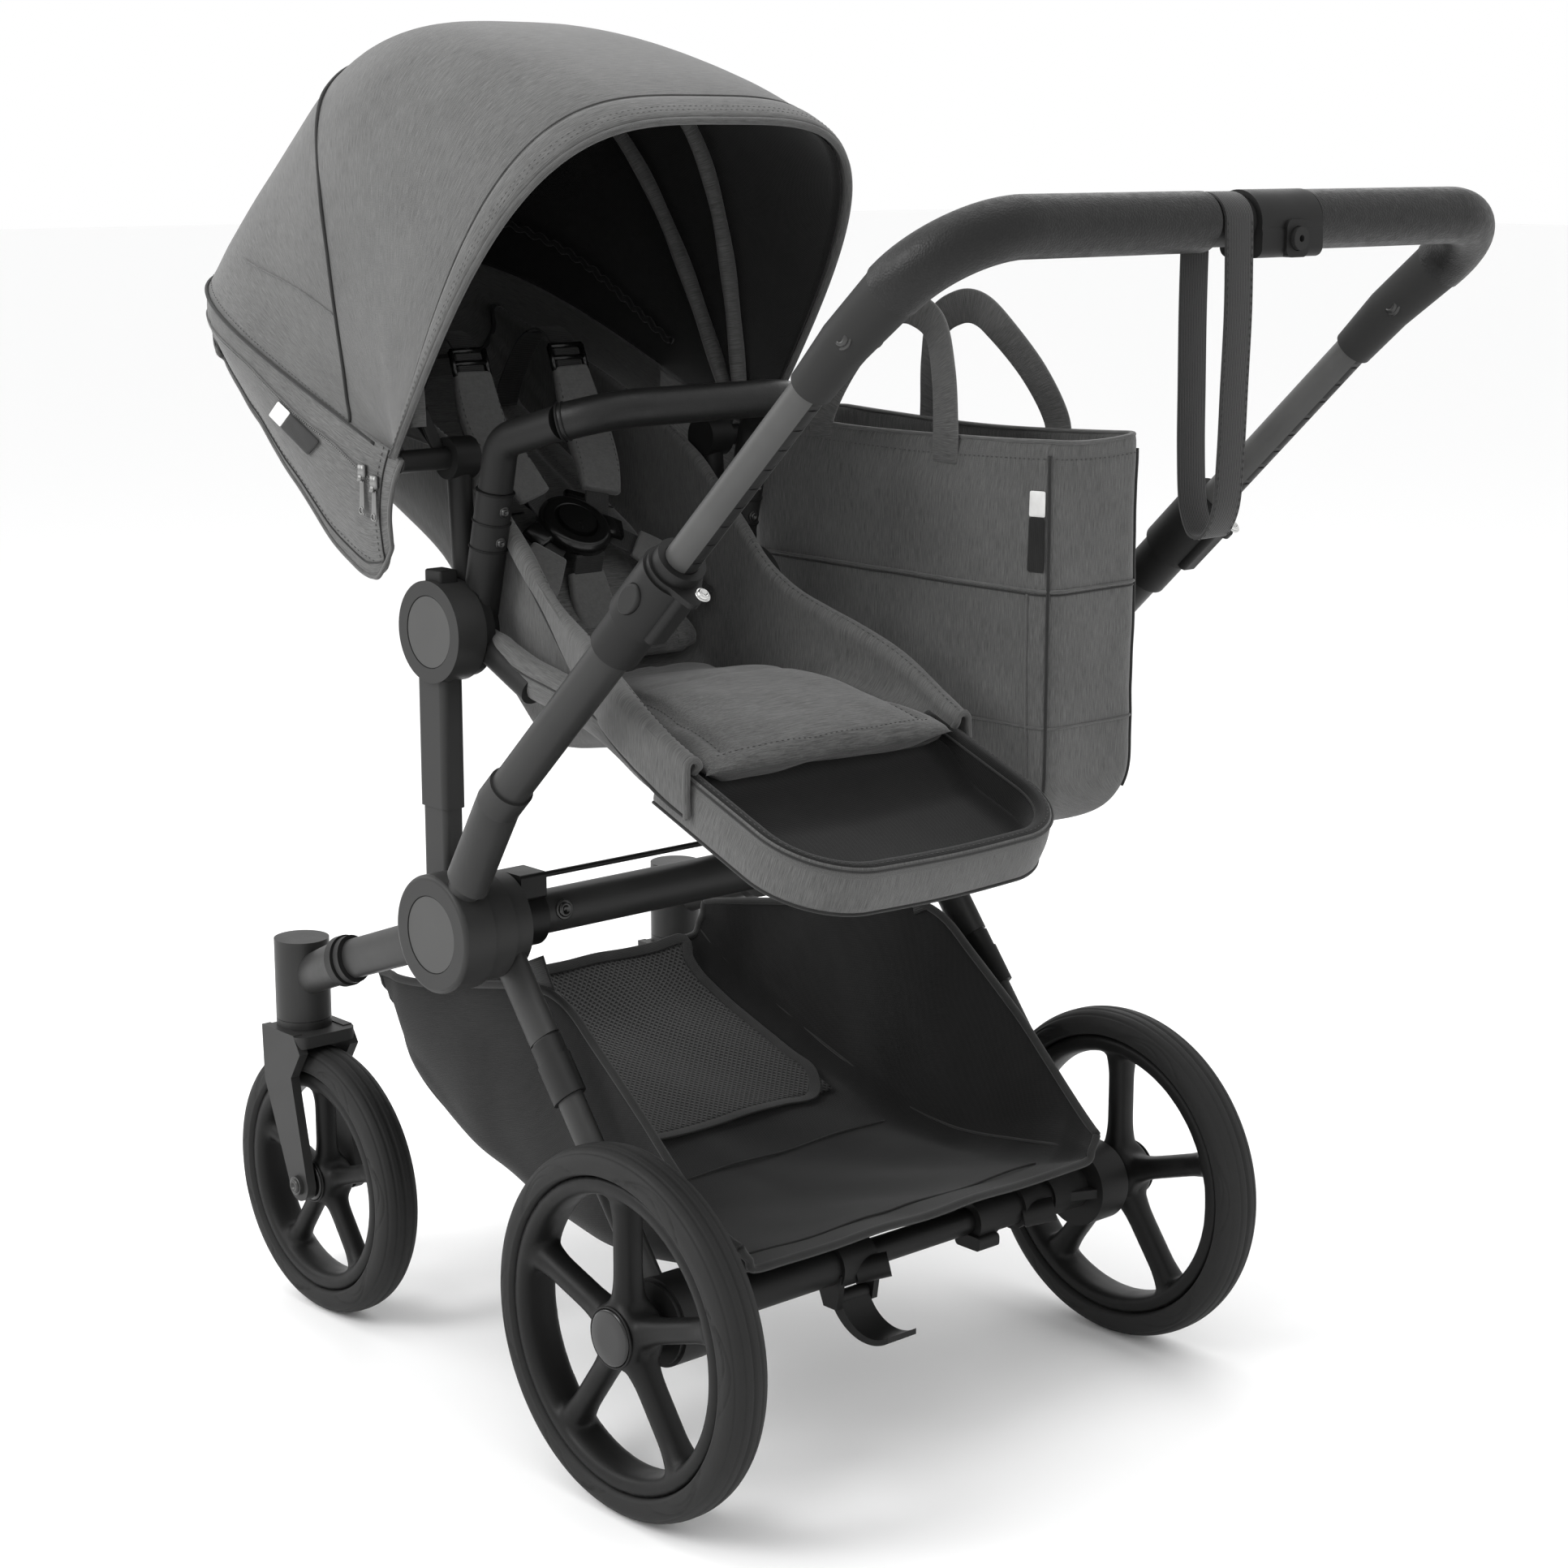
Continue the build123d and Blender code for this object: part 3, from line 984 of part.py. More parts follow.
with BuildPart() as bag_handles:
    for x, far, y_from, y_to in ((BAG_LEFT + BAG_SKIN + 1.8, 122.0, 50.0, 200.0),
                                 (BAG_RIGHT - BAG_SKIN - 1.8, 172.0, 20.0, 170.0)):
        low, high = BAG_TOP - 30.0, 918.0
        add(ribbon((at(x, y_from, low), at(x, y_from, low + 38.0), at(far, y_from + 40.0, high),
                                  at(far, y_to - 40.0, high), at(x, y_to, low + 38.0), at(x, y_to, low)),
                                 3.0, 30.0, 14.0))
save(bag_handles.part, "bag_handles")
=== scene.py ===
"""Looks of the baby stroller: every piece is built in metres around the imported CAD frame."""
from math import cos, hypot, pi, radians, sin, sqrt

import bmesh
import bpy
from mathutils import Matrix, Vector, noise
from mathutils.bvhtree import BVHTree
from mathutils.kdtree import KDTree


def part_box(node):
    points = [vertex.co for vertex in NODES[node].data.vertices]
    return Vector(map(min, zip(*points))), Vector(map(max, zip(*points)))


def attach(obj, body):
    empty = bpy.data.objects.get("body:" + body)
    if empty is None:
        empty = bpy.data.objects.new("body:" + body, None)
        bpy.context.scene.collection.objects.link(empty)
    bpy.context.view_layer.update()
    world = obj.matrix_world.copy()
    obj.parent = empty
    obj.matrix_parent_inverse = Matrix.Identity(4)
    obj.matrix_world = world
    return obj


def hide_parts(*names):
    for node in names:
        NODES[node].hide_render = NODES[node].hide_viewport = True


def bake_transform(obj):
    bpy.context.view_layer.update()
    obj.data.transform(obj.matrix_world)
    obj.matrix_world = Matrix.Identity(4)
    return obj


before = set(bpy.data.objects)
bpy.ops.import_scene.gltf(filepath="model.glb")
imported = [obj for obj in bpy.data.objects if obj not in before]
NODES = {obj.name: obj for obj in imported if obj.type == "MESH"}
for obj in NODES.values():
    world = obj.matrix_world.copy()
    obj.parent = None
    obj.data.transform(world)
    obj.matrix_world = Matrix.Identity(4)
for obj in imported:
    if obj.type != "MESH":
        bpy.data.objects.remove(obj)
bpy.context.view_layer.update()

# ---- the frame of reference: points are given in mm, y forward of the rear axle
AXLE_Y = -131.75
SEAT_MID = -106.5
PIVOT_Y, PIVOT_Z = 262.0, 807.0


def P(x, y, z):
    """A point from mm, with y forward of the rear axle, to metres in the row frame."""
    return Vector((x, y + AXLE_Y, z)) / 1000.0


def mix(a, b, t):
    return a + (b - a) * t


def ramp(table, x):
    """A value read from a table of (x, value) with straight runs between."""
    table = sorted(table)
    if x <= table[0][0]:
        return table[0][1]
    for (x0, v0), (x1, v1) in zip(table, table[1:]):
        if x <= x1:
            return mix(v0, v1, (x - x0) / (x1 - x0))
    return table[-1][1]


def ease(t):
    t = min(1.0, max(0.0, t))
    return t * t * (3 - 2 * t)


def smooth(points, count, closed=False):
    """Evenly spaced points along a smooth curve through the given ones."""
    pts = [Vector(p) for p in points]
    n = len(pts)
    dense = []
    spans = n if closed else n - 1
    for i in range(spans):
        if closed:
            a, b, c, d = (pts[(i + k) % n] for k in (-1, 0, 1, 2))
        else:
            b, c = pts[i], pts[i + 1]
            a = pts[i - 1] if i else b * 2 - c
            d = pts[i + 2] if i + 2 < n else c * 2 - b
        for k in range(16):
            t = k / 16
            dense.append(0.5 * (2 * b + (c - a) * t + (2 * a - 5 * b + 4 * c - d) * t * t
                                + (3 * b - a - 3 * c + d) * t ** 3))
    dense.append(pts[0] if closed else pts[-1])
    return even(dense, count, closed)


def even(points, count, closed=False):
    """Evenly spaced points along a polyline."""
    run = [0.0]
    for a, b in zip(points, points[1:]):
        run.append(run[-1] + (b - a).length)
    out, j = [], 0
    for i in range(count):
        s = run[-1] * i / (count if closed else count - 1)
        while j < len(run) - 2 and run[j + 1] < s:
            j += 1
        width = run[j + 1] - run[j] or 1.0
        out.append(points[j].lerp(points[j + 1], min(1.0, (s - run[j]) / width)))
    return out


# ---------------------------------------------------------------------------------------------------
# Meshes
# ---------------------------------------------------------------------------------------------------
def new_object(name, verts, faces, uvs=None):
    mesh = bpy.data.meshes.new(name)
    mesh.from_pydata([tuple(v) for v in verts], [], faces)
    if uvs:
        layer = mesh.uv_layers.new(name="UVMap")
        for poly in mesh.polygons:
            for loop in poly.loop_indices:
                layer.data[loop].uv = uvs[mesh.loops[loop].vertex_index]
    mesh.polygons.foreach_set("use_smooth", [True] * len(mesh.polygons))
    mesh.update()
    obj = bpy.data.objects.new(name, mesh)
    bpy.context.scene.collection.objects.link(obj)
    return obj


def grid(name, rows, wrap=False, flip=False):
    """A surface through rows of points, with UVs in metres along and across."""
    count, cols = len(rows), len(rows[0])
    verts, uvs = [], []
    v_run = 0.0
    for r, row in enumerate(rows):
        if r:
            v_run += sum((a - b).length for a, b in zip(row, rows[r - 1])) / cols
        u_run = 0.0
        for c, point in enumerate(row):
            if c:
                u_run += (point - row[c - 1]).length
            verts.append(point)
            uvs.append((u_run, v_run))
    faces = []
    for r in range(count - 1):
        for c in range(cols - (0 if wrap else 1)):
            d = (c + 1) % cols
            face = (r * cols + c, r * cols + d, (r + 1) * cols + d, (r + 1) * cols + c)
            faces.append(face[::-1] if flip else face)
    return new_object(name, verts, faces, uvs)


def frames(points, closed=False, up=None):
    """A tangent, side and top direction at each point of a path, turning as little as possible."""
    n = len(points)
    out, last = [], None
    for i, p in enumerate(points):
        a = points[i - 1] if i or closed else points[i]
        b = points[(i + 1) % n] if i < n - 1 or closed else points[i]
        t = (b - a).normalized()
        if last is None:
            last = Vector(up) if up is not None else Vector((0, 0, 1)) if abs(t.z) < 0.9 else Vector((0, 1,
                    0))
        top = last - t * last.dot(t)
        if top.length < 1e-6:
            top = t.orthogonal()
        top.normalize()
        if up is None:
            last = top
        out.append((t, t.cross(top).normalized(), top))
    return out


def sweep(name, points, section, closed=False, up=None, scale=None):
    """A closed section, given as (side, top) offsets in metres, carried along a path."""
    rows = []
    for i, (p, (t, side, top)) in enumerate(zip(points, frames(points, closed, up))):
        k = scale(i / (len(points) - 1)) if scale else 1.0
        rows.append([p + side * a * k + top * b * k for a, b in section])
    if closed:
        rows.append(rows[0])
    cols = len(section)
    verts = [v for row in rows for v in row]
    u, uvs = 0.0, []
    around = [0.0]
    for a, b in zip(section, section[1:]):
        around.append(around[-1] + hypot(b[0] - a[0], b[1] - a[1]))
    for i, row in enumerate(rows):
        if i:
            u += (rows[i][0] - rows[i - 1][0]).length
        uvs += [(u, v) for v in around]
    faces = []
    for r in range(len(rows) - 1):
        for c in range(cols):
            d = (c + 1) % cols
            faces.append((r * cols + c, r * cols + d, (r + 1) * cols + d, (r + 1) * cols + c))
    if not closed:
        faces += [tuple(range(cols))[::-1], tuple((len(rows) - 1) * cols + c for c in range(cols))]
    obj = new_object(name, verts, faces, uvs)
    if closed:
        weld(obj)
    fix_normals(obj)
    return obj


def ring(radius, count=12, squash=1.0):
    return [(radius * cos(2 * pi * k / count), radius * squash * sin(2 * pi * k / count))
            for k in range(count)]


def flat_section(width, thick, round_by=None):
    """A flat strap's section with rounded edges."""
    r = min(thick, width) / 2 if round_by is None else round_by
    out = []
    for cx, cy, start in ((1, 1, 0), (-1, 1, 90), (-1, -1, 180), (1, -1, 270)):
        for k in range(4):
            a = radians(start + 30 * k)
            out.append((cx * (width / 2 - r) + r * cos(a), cy * (thick / 2 - r) + r * sin(a)))
    return out


def edit(obj, change):
    """Runs a change on the object's mesh as a bmesh."""
    bm = bmesh.new()
    bm.from_mesh(obj.data)
    change(bm)
    bm.to_mesh(obj.data)
    bm.free()


def weld(obj, distance=1e-6):
    """Merges points that coincide."""
    edit(obj, lambda bm: bmesh.ops.remove_doubles(bm, verts=bm.verts, dist=distance))


def fix_normals(obj):
    """Turns every face outward."""
    edit(obj, lambda bm: bmesh.ops.recalc_face_normals(bm, faces=bm.faces))


def close_holes(obj):
    """Caps every open edge and turns the faces outward."""
    edit(obj, lambda bm: bmesh.ops.holes_fill(bm, edges=[e for e in bm.edges if e.is_boundary], sides=0))
    fix_normals(obj)


def apply_all(obj):
    """Applies the object's modifiers to its mesh."""
    deps = bpy.context.evaluated_depsgraph_get()
    mesh = bpy.data.meshes.new_from_object(obj.evaluated_get(deps))
    old = obj.data
    obj.modifiers.clear()
    obj.data = mesh
    bpy.data.meshes.remove(old)
    mesh.polygons.foreach_set("use_smooth", [True] * len(mesh.polygons))
    return obj


def thicken(obj, thick, offset=-1.0, levels=0):
    solid = obj.modifiers.new("thick", "SOLIDIFY")
    solid.thickness, solid.offset, solid.use_even_offset = thick, offset, True
    if levels:
        sub = obj.modifiers.new("sub", "SUBSURF")
        sub.levels = sub.render_levels = levels
    return apply_all(obj)


def lathe(name, profile, centre, axis, count=64):
    """A profile of (along, radius) in metres turned about an axis through centre."""
    axis = Vector(axis).normalized()
    side = axis.orthogonal().normalized()
    top = axis.cross(side)
    rows = []
    for along, radius in profile:
        rows.append([centre + axis * along + (side * cos(2 * pi * k / count) + top * sin(2 * pi * k / count))
                     * max(radius, 1e-5) for k in range(count)])
    obj = grid(name, rows, wrap=True)
    weld(obj, 2e-5)
    fix_normals(obj)
    return obj


def dome(name, centre, axis, radius, height, edge=0.25, count=48):
    """A low round cap with a softened edge."""
    profile = [(0.0, radius), (height * 0.55, radius), (height * 0.85, radius * (1 - edge * 0.35)),
               (height, radius * (1 - edge)), (height * 1.02, radius * 0.5), (height * 1.03, 0.0)]
    return lathe(name, profile, centre, axis, count)


def join(name, objects):
    """One object from several, keeping their UVs and materials."""
    bpy.ops.object.select_all(action="DESELECT")
    for o in objects:
        o.select_set(True)
    bpy.context.view_layer.objects.active = objects[0]
    bpy.ops.object.join()
    objects[0].name = name
    objects[0].data.name = name
    return objects[0]


def wrinkle(obj, depth, size, seed=0.0, keep=None):
    """Moves each point along its normal by smooth noise, so that cloth isn't perfectly even."""
    mesh = obj.data
    normals = [v.normal.copy() for v in mesh.vertices]
    for v, n in zip(mesh.vertices, normals):
        amount = noise.noise(v.co / size + Vector((seed, seed, seed)))
        v.co += n * depth * amount * (keep(v.co) if keep else 1.0)
    mesh.update()


# ---------------------------------------------------------------------------------------------------
# Materials
# ---------------------------------------------------------------------------------------------------


class Look:
    """A Principled material and short ways of adding nodes to it."""

    def __init__(self, name, colour, rough, metallic=0.0, spec=0.5, sheen=0.0, sheen_rough=0.5, coat=0.0,
                 coat_rough=0.2):
        self.material = bpy.data.materials.new(name)
        self.material.use_nodes = True
        self.tree = self.material.node_tree
        self.shader = self.tree.nodes["Principled BSDF"]
        put = self.shader.inputs
        put["Base Color"].default_value = (*colour, 1.0)
        put["Roughness"].default_value = rough
        put["Metallic"].default_value = metallic
        put["Specular IOR Level"].default_value = spec
        put["Sheen Weight"].default_value = sheen
        put["Sheen Roughness"].default_value = sheen_rough
        put["Coat Weight"].default_value = coat
        put["Coat Roughness"].default_value = coat_rough
        self.material.diffuse_color = (*colour, 1.0)
        self.coordinates = self.tree.nodes.new("ShaderNodeTexCoord")
        self.heights = []

    def place(self, source, scale, turn=(0, 0, 0)):
        node = self.tree.nodes.new("ShaderNodeMapping")
        node.inputs["Scale"].default_value = scale
        node.inputs["Rotation"].default_value = turn
        self.tree.links.new(self.coordinates.outputs[source], node.inputs["Vector"])
        return node.outputs["Vector"]

    def noise(self, vector, scale=1.0, detail=3.0, rough=0.55):
        node = self.tree.nodes.new("ShaderNodeTexNoise")
        node.inputs["Scale"].default_value = scale
        node.inputs["Detail"].default_value = detail
        node.inputs["Roughness"].default_value = rough
        self.tree.links.new(vector, node.inputs["Vector"])
        return node.outputs["Fac"]

    def wave(self, vector, scale, direction="X"):
        """Parallel bands across one direction."""
        node = self.tree.nodes.new("ShaderNodeTexWave")
        node.bands_direction = direction
        node.inputs["Scale"].default_value = scale
        node.inputs["Distortion"].default_value = 0.0
        node.inputs["Detail"].default_value = 0.0
        self.tree.links.new(vector, node.inputs["Vector"])
        return node.outputs["Fac"]

    def cells(self, vector, scale, feature="F1"):
        node = self.tree.nodes.new("ShaderNodeTexVoronoi")
        node.feature = feature
        node.inputs["Scale"].default_value = scale
        self.tree.links.new(vector, node.inputs["Vector"])
        return node.outputs["Distance"]

    def math(self, operation, a, b=None):
        node = self.tree.nodes.new("ShaderNodeMath")
        node.operation = operation
        for socket, value in zip(node.inputs, (a, b)):
            if value is None:
                continue
            if isinstance(value, (int, float)):
                socket.default_value = value
            else:
                self.tree.links.new(value, socket)
        return node.outputs[0]

    def stretch(self, value, low, high, to_low=0.0, to_high=1.0):
        node = self.tree.nodes.new("ShaderNodeMapRange")
        for key, number in (("From Min", low), ("From Max", high), ("To Min", to_low), ("To Max", to_high)):
            node.inputs[key].default_value = number
        self.tree.links.new(value, node.inputs["Value"])
        return node.outputs["Result"]

    def paint(self, factor, stops):
        """Colours the base by factor through a colour ramp."""
        node = self.tree.nodes.new("ShaderNodeValToRGB")
        for element, (position, colour) in zip(node.color_ramp.elements, (stops[0], stops[-1])):
            element.position, element.color = position, (*colour, 1)
        for position, colour in stops[1:-1]:
            node.color_ramp.elements.new(position).color = (*colour, 1)
        self.tree.links.new(factor, node.inputs["Fac"])
        self.tree.links.new(node.outputs["Color"], self.shader.inputs["Base Color"])

    def roughen(self, factor, low, high):
        self.tree.links.new(self.stretch(factor, 0.3, 0.7, low, high), self.shader.inputs["Roughness"])

    def bump(self, height, distance, strength=1.0):
        node = self.tree.nodes.new("ShaderNodeBump")
        node.inputs["Distance"].default_value = distance
        node.inputs["Strength"].default_value = strength
        self.tree.links.new(height, node.inputs["Height"])
        if self.heights:
            self.tree.links.new(self.heights[-1], node.inputs["Normal"])
        self.heights.append(node.outputs["Normal"])
        self.tree.links.new(node.outputs["Normal"], self.shader.inputs["Normal"])


def grey(v):
    return (v, v * 1.0, v * 0.985)


def shades(v, spread):
    return [grey(v * (1 - spread)), grey(v), grey(v * (1 + spread))]


def melange(name, value, source="UV", along=(60, 1500, 1), spread=0.42, sheen=0.22, turn=(0, 0, 0)):
    """Brushed melange cloth: short streaks along one direction, a fine weave and soft blotches."""
    look = Look(name, grey(value), 0.9, sheen=sheen, sheen_rough=0.45, spec=0.25)
    streak = look.noise(look.place(source, along, turn), 1.0, 2.0, 0.6)
    fleck = look.noise(look.place(source, tuple(v * 2.6 for v in along), turn), 1.0, 1.0, 0.5)
    cloud = look.noise(look.place(source, (14, 14, 14)), 1.0, 2.0)
    sum_ = look.math("ADD", look.math("MULTIPLY", streak, 0.62), look.math("MULTIPLY", fleck, 0.38))
    total = look.math("ADD", look.math("MULTIPLY", sum_, 0.86), look.math("MULTIPLY", cloud, 0.14))
    dark, mid, light = shades(value, spread)
    look.paint(look.stretch(total, 0.36, 0.64), [(0.0, dark), (0.5, mid), (1.0, light)])
    weave = look.math("MULTIPLY", look.wave(look.place(source, (1, 1, 1), turn), 290, "X"),
                      look.wave(look.place(source, (1, 1, 1), turn), 290, "Y"))
    look.bump(weave, 0.00022, 0.5)
    look.bump(sum_, 0.0005, 0.55)
    return look


def plain_cloth(name, value, source="UV", sheen=0.15, rough=0.92, pitch=260):
    look = Look(name, grey(value), rough, sheen=sheen, sheen_rough=0.5, spec=0.2)
    cloud = look.noise(look.place(source, (30, 30, 30)), 1.0, 4.0)
    look.paint(look.stretch(cloud, 0.3, 0.7), [(0.0, grey(value * 0.8)), (1.0, grey(value * 1.22))])
    weave = look.math("ADD", look.wave(look.place(source, (1, 1, 1)), pitch, "X"),
                      look.wave(look.place(source, (1, 1, 1)), pitch, "Y"))
    look.bump(weave, 0.00025, 0.5)
    look.bump(cloud, 0.0006, 0.35)
    return look


def webbing(name, value, source="UV"):
    look = Look(name, grey(value), 0.62, sheen=0.12, spec=0.4)
    ribs = look.wave(look.place(source, (1, 1, 1)), 190, "X")
    edge = look.noise(look.place(source, (700, 700, 700)), 1.0, 2.0)
    look.paint(look.stretch(edge, 0.3, 0.7), [(0.0, grey(value * 0.75)), (1.0, grey(value * 1.25))])
    look.bump(ribs, 0.0004, 0.6)
    return look


def moulded(name, value, rough=0.5, grain=0.00012, spec=0.2, coat=0.0, size=1500):
    """Moulded plastic or coated metal: a fine grain with faint wear in the gloss."""
    look = Look(name, grey(value), rough, spec=spec, coat=coat, coat_rough=0.25)
    fine = look.noise(look.place("Object", (size, size, size)), 1.0, 3.0, 0.6)
    wear = look.noise(look.place("Object", (18, 18, 18)), 1.0, 4.0, 0.6)
    look.paint(look.stretch(wear, 0.25, 0.75), [(0.0, grey(value * 0.88)), (1.0, grey(value * 1.12))])
    look.roughen(wear, rough - 0.06, rough + 0.08)
    look.bump(fine, grain, 0.5)
    return look


def leather(name, value, rough=0.46, grain=0.00042, scale=620):
    look = Look(name, grey(value), rough, spec=0.3, coat=0.04, coat_rough=0.35)
    spot = look.place("Object", (1, 1, 1))
    pebble = look.cells(spot, scale)
    crease = look.noise(look.place("Object", (160, 160, 160)), 1.0, 4.0, 0.6)
    look.paint(look.stretch(pebble, 0.0, 0.8), [(0.0, grey(value * 1.15)), (1.0, grey(value * 0.7))])
    look.roughen(crease, rough - 0.05, rough + 0.1)
    look.bump(pebble, grain, 0.55)
    look.bump(crease, 0.0005, 0.3)
    return look


def mesh_cloth(name, value):
    """Open diamond mesh over dark cloth, drawn as raised cords."""
    look = Look(name, grey(value), 0.75, sheen=0.1, spec=0.35)
    spot = look.place("UV", (1, 1, 1), (0, 0, radians(45)))
    cords = look.math("MAXIMUM", look.wave(spot, 72, "X"), look.wave(spot, 72, "Y"))
    look.paint(look.stretch(cords, 0.55, 0.95), [(0.0, grey(value * 0.3)), (1.0, grey(value * 2.6))])
    look.bump(cords, 0.0012, 0.9)
    return look


FABRIC = melange("fabric_grey", 0.088)
FABRIC_V = melange("fabric_grey_upright", 0.088, along=(1500, 60, 1))
FABRIC_O = melange("fabric_grey_pad", 0.088, source="Object", along=(60, 900, 900))
LINING = plain_cloth("canopy_lining", 0.006)
BLACK_CLOTH = plain_cloth("basket_cloth", 0.0045)
TRAY_CLOTH = plain_cloth("tray_cloth", 0.004)
PIPING = plain_cloth("piping", 0.02, rough=0.8)
PIPING_GREY = melange("piping_grey", 0.085)
THREAD = plain_cloth("thread", 0.04, rough=0.7)
WEBBING = webbing("webbing_black", 0.012)
GREY_WEB = melange("harness_pad", 0.105, source="Object", along=(200, 200, 200), spread=0.12)
MESH = mesh_cloth("basket_mesh", 0.014)
PLASTIC = moulded("plastic_dark", 0.010, 0.5)
PLASTIC_SOFT = moulded("plastic_matte", 0.017, 0.58)
TUBE = moulded("frame_dark", 0.026, 0.42, 0.00006)
TUBE_LIGHT = moulded("frame_light", 0.062, 0.4, 0.00006)
TUBE_BLACK = moulded("tube_black", 0.006, 0.42, 0.00005)
DISC = moulded("disc_face", 0.060, 0.5, 0.00005)
GLOSS = moulded("plastic_gloss", 0.005, 0.22, 0.00003, coat=0.5)
LEATHER = leather("leatherette", 0.006)
LEATHER_SMOOTH = leather("bumper_leatherette", 0.006, 0.42, 0.00012, 900)
RUBBER = moulded("tyre_rubber", 0.012, 0.68, 0.00025, spec=0.3, size=700)
WHEEL = moulded("wheel_plastic", 0.007, 0.46)
STEEL = moulded("steel", 0.62, 0.28, 0.00004)
STEEL.shader.inputs["Metallic"].default_value = 1.0
ZIP = moulded("zip_metal", 0.22, 0.35, 0.00005)
ZIP.shader.inputs["Metallic"].default_value = 0.85
TAG_WHITE = plain_cloth("tag_white", 0.62, source="Object")
TAG_BLACK = plain_cloth("tag_black", 0.012, source="Object")


def dress(obj, look, body=None, replaces=()):
    """Gives a piece its material and body, and hides the CAD nodes it stands for."""
    obj.data.materials.clear()
    obj.data.materials.append(look.material)
    if body:
        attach(obj, body)
    if replaces:
        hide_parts(*replaces)
    return obj


# ---- materials of the CAD nodes that stay
CAD_LOOKS = {
    TUBE: "cross_tube front_tubes rear_legs seat_posts arm_castings hub_cores seat_hubs arm_tubes "
          "caster_sockets fork_left fork_right",
    TUBE_LIGHT: "upper_tubes",
    TUBE_BLACK: "axle_tube release_rod",
    DISC: "hub_discs seat_hub_discs",
    PLASTIC: "leg_collars wheel_drums axle_sleeves axle_clamps brake_pedal arm_collars handle_racks "
             "clamp_rings handle_clamp seat_adapters bag_rest swivel_lock_left "
             "swivel_lock_right recline_tab_left recline_tab_right bumper_bar buckle",
    PLASTIC_SOFT: "elbows collar_button_left collar_button_right clamp_button crossbar",
    GLOSS: "buckle_button",
    LEATHER: "grips",
    LEATHER_SMOOTH: "bumper_grip",
    WHEEL: "rear_rim_left rear_rim_right front_rim_left front_rim_right",
}
for look, names in CAD_LOOKS.items():
    for node in names.split():
        mesh = NODES[node].data
        mesh.materials.clear()
        mesh.materials.append(look.material)

# ---------------------------------------------------------------------------------------------------
# Camera, light and floor
# ---------------------------------------------------------------------------------------------------
camera = bpy.data.objects.new("camera", bpy.data.cameras.new("camera"))
bpy.context.scene.collection.objects.link(camera)
camera.location = (-1.6649, -1.8610, 1.0613)
camera.rotation_euler = (radians(77.873), radians(-0.053), radians(-41.735))
camera.data.sensor_width = 36.0
camera.data.lens = 69.41
camera.data.clip_end = 100.0
bpy.context.scene.camera = camera


def softbox(name, place, aim, size, power):
    light = bpy.data.objects.new(name, bpy.data.lights.new(name, "AREA"))
    bpy.context.scene.collection.objects.link(light)
    light.data.shape = "RECTANGLE"
    light.data.size, light.data.size_y = size
    light.data.energy = power
    light.location = place
    light.rotation_euler = (Vector(aim) - Vector(place)).to_track_quat("-Z", "Y").to_euler()


softbox("key_light", (-2.8, 0.6, 2.4), (0, 0, 0.5), (1.4, 1.8), 60)
softbox("top_light", (0.2, 0.3, 3.6), (0, 0, 0.4), (3.0, 3.0), 30)
softbox("rim_light", (2.6, 1.6, 2.2), (0, 0, 0.6), (1.6, 2.2), 14)
softbox("back_light", (-1.6, 3.0, 2.0), (-0.1, 0, 0.8), (2.0, 1.6), 22)

world = bpy.data.worlds.new("studio")
world.use_nodes = True
world.node_tree.nodes["Background"].inputs["Color"].default_value = (1, 1, 1, 1)
world.node_tree.nodes["Background"].inputs["Strength"].default_value = 1.0
bpy.context.scene.world = world
bpy.context.scene.view_settings.view_transform = "Standard"

floor_look = Look("floor", (0.965, 0.965, 0.965), 0.75, spec=0.1)
floor_look.bump(floor_look.noise(floor_look.place("Object", (3, 3, 3)), 1.0, 2.0), 0.0002, 0.2)
floor = new_object("floor", [(-30, -30, 0), (30, -30, 0), (30, 30, 0), (-30, 30, 0)], [(0, 1, 2, 3)])
floor.data.materials.append(floor_look.material)

# ---------------------------------------------------------------------------------------------------
# Canopy: one curved sheet over the bows, a flap below its collar, and a black lining
# ---------------------------------------------------------------------------------------------------
# Sections about the pivot: angle above forwards, crown reach, half width, squareness.
CANOPY = ((123.4, 321, 200, 3.6), (111, 318, 199, 3.55), (98, 321, 197, 3.5), (84, 339, 194.5, 3.4),
          (70, 369, 190.5, 3.35), (57, 380, 188.5, 3.3), (45, 377, 187, 3.35), (34, 383, 186, 3.8),
          (27, 390, 187.5, 4.2), (20, 400, 190, 4.6))
COLLAR, RIM = 20.0, 123.4
RIGHT_HALF = 193.0                       # the right side stays clear of the bag


def canopy_numbers(angle):
    return [ramp([(row[0], row[k]) for row in CANOPY], angle) for k in (1, 2, 3)]


def soft_numbers(angle):
    """The section at an angle, averaged over a few degrees so that the cloth has no creases."""
    total = [0.0, 0.0, 0.0]
    for k in range(-4, 5):
        a = min(RIM, max(COLLAR, angle + k * 1.6))
        for i, v in enumerate(canopy_numbers(a)):
            total[i] += v / 9
    if angle < COLLAR + 6.4:
        exact = canopy_numbers(max(COLLAR, angle))
        t = ease((angle - COLLAR) / 6.4)
        return [mix(e, s, t) for e, s in zip(exact, total)]
    return total


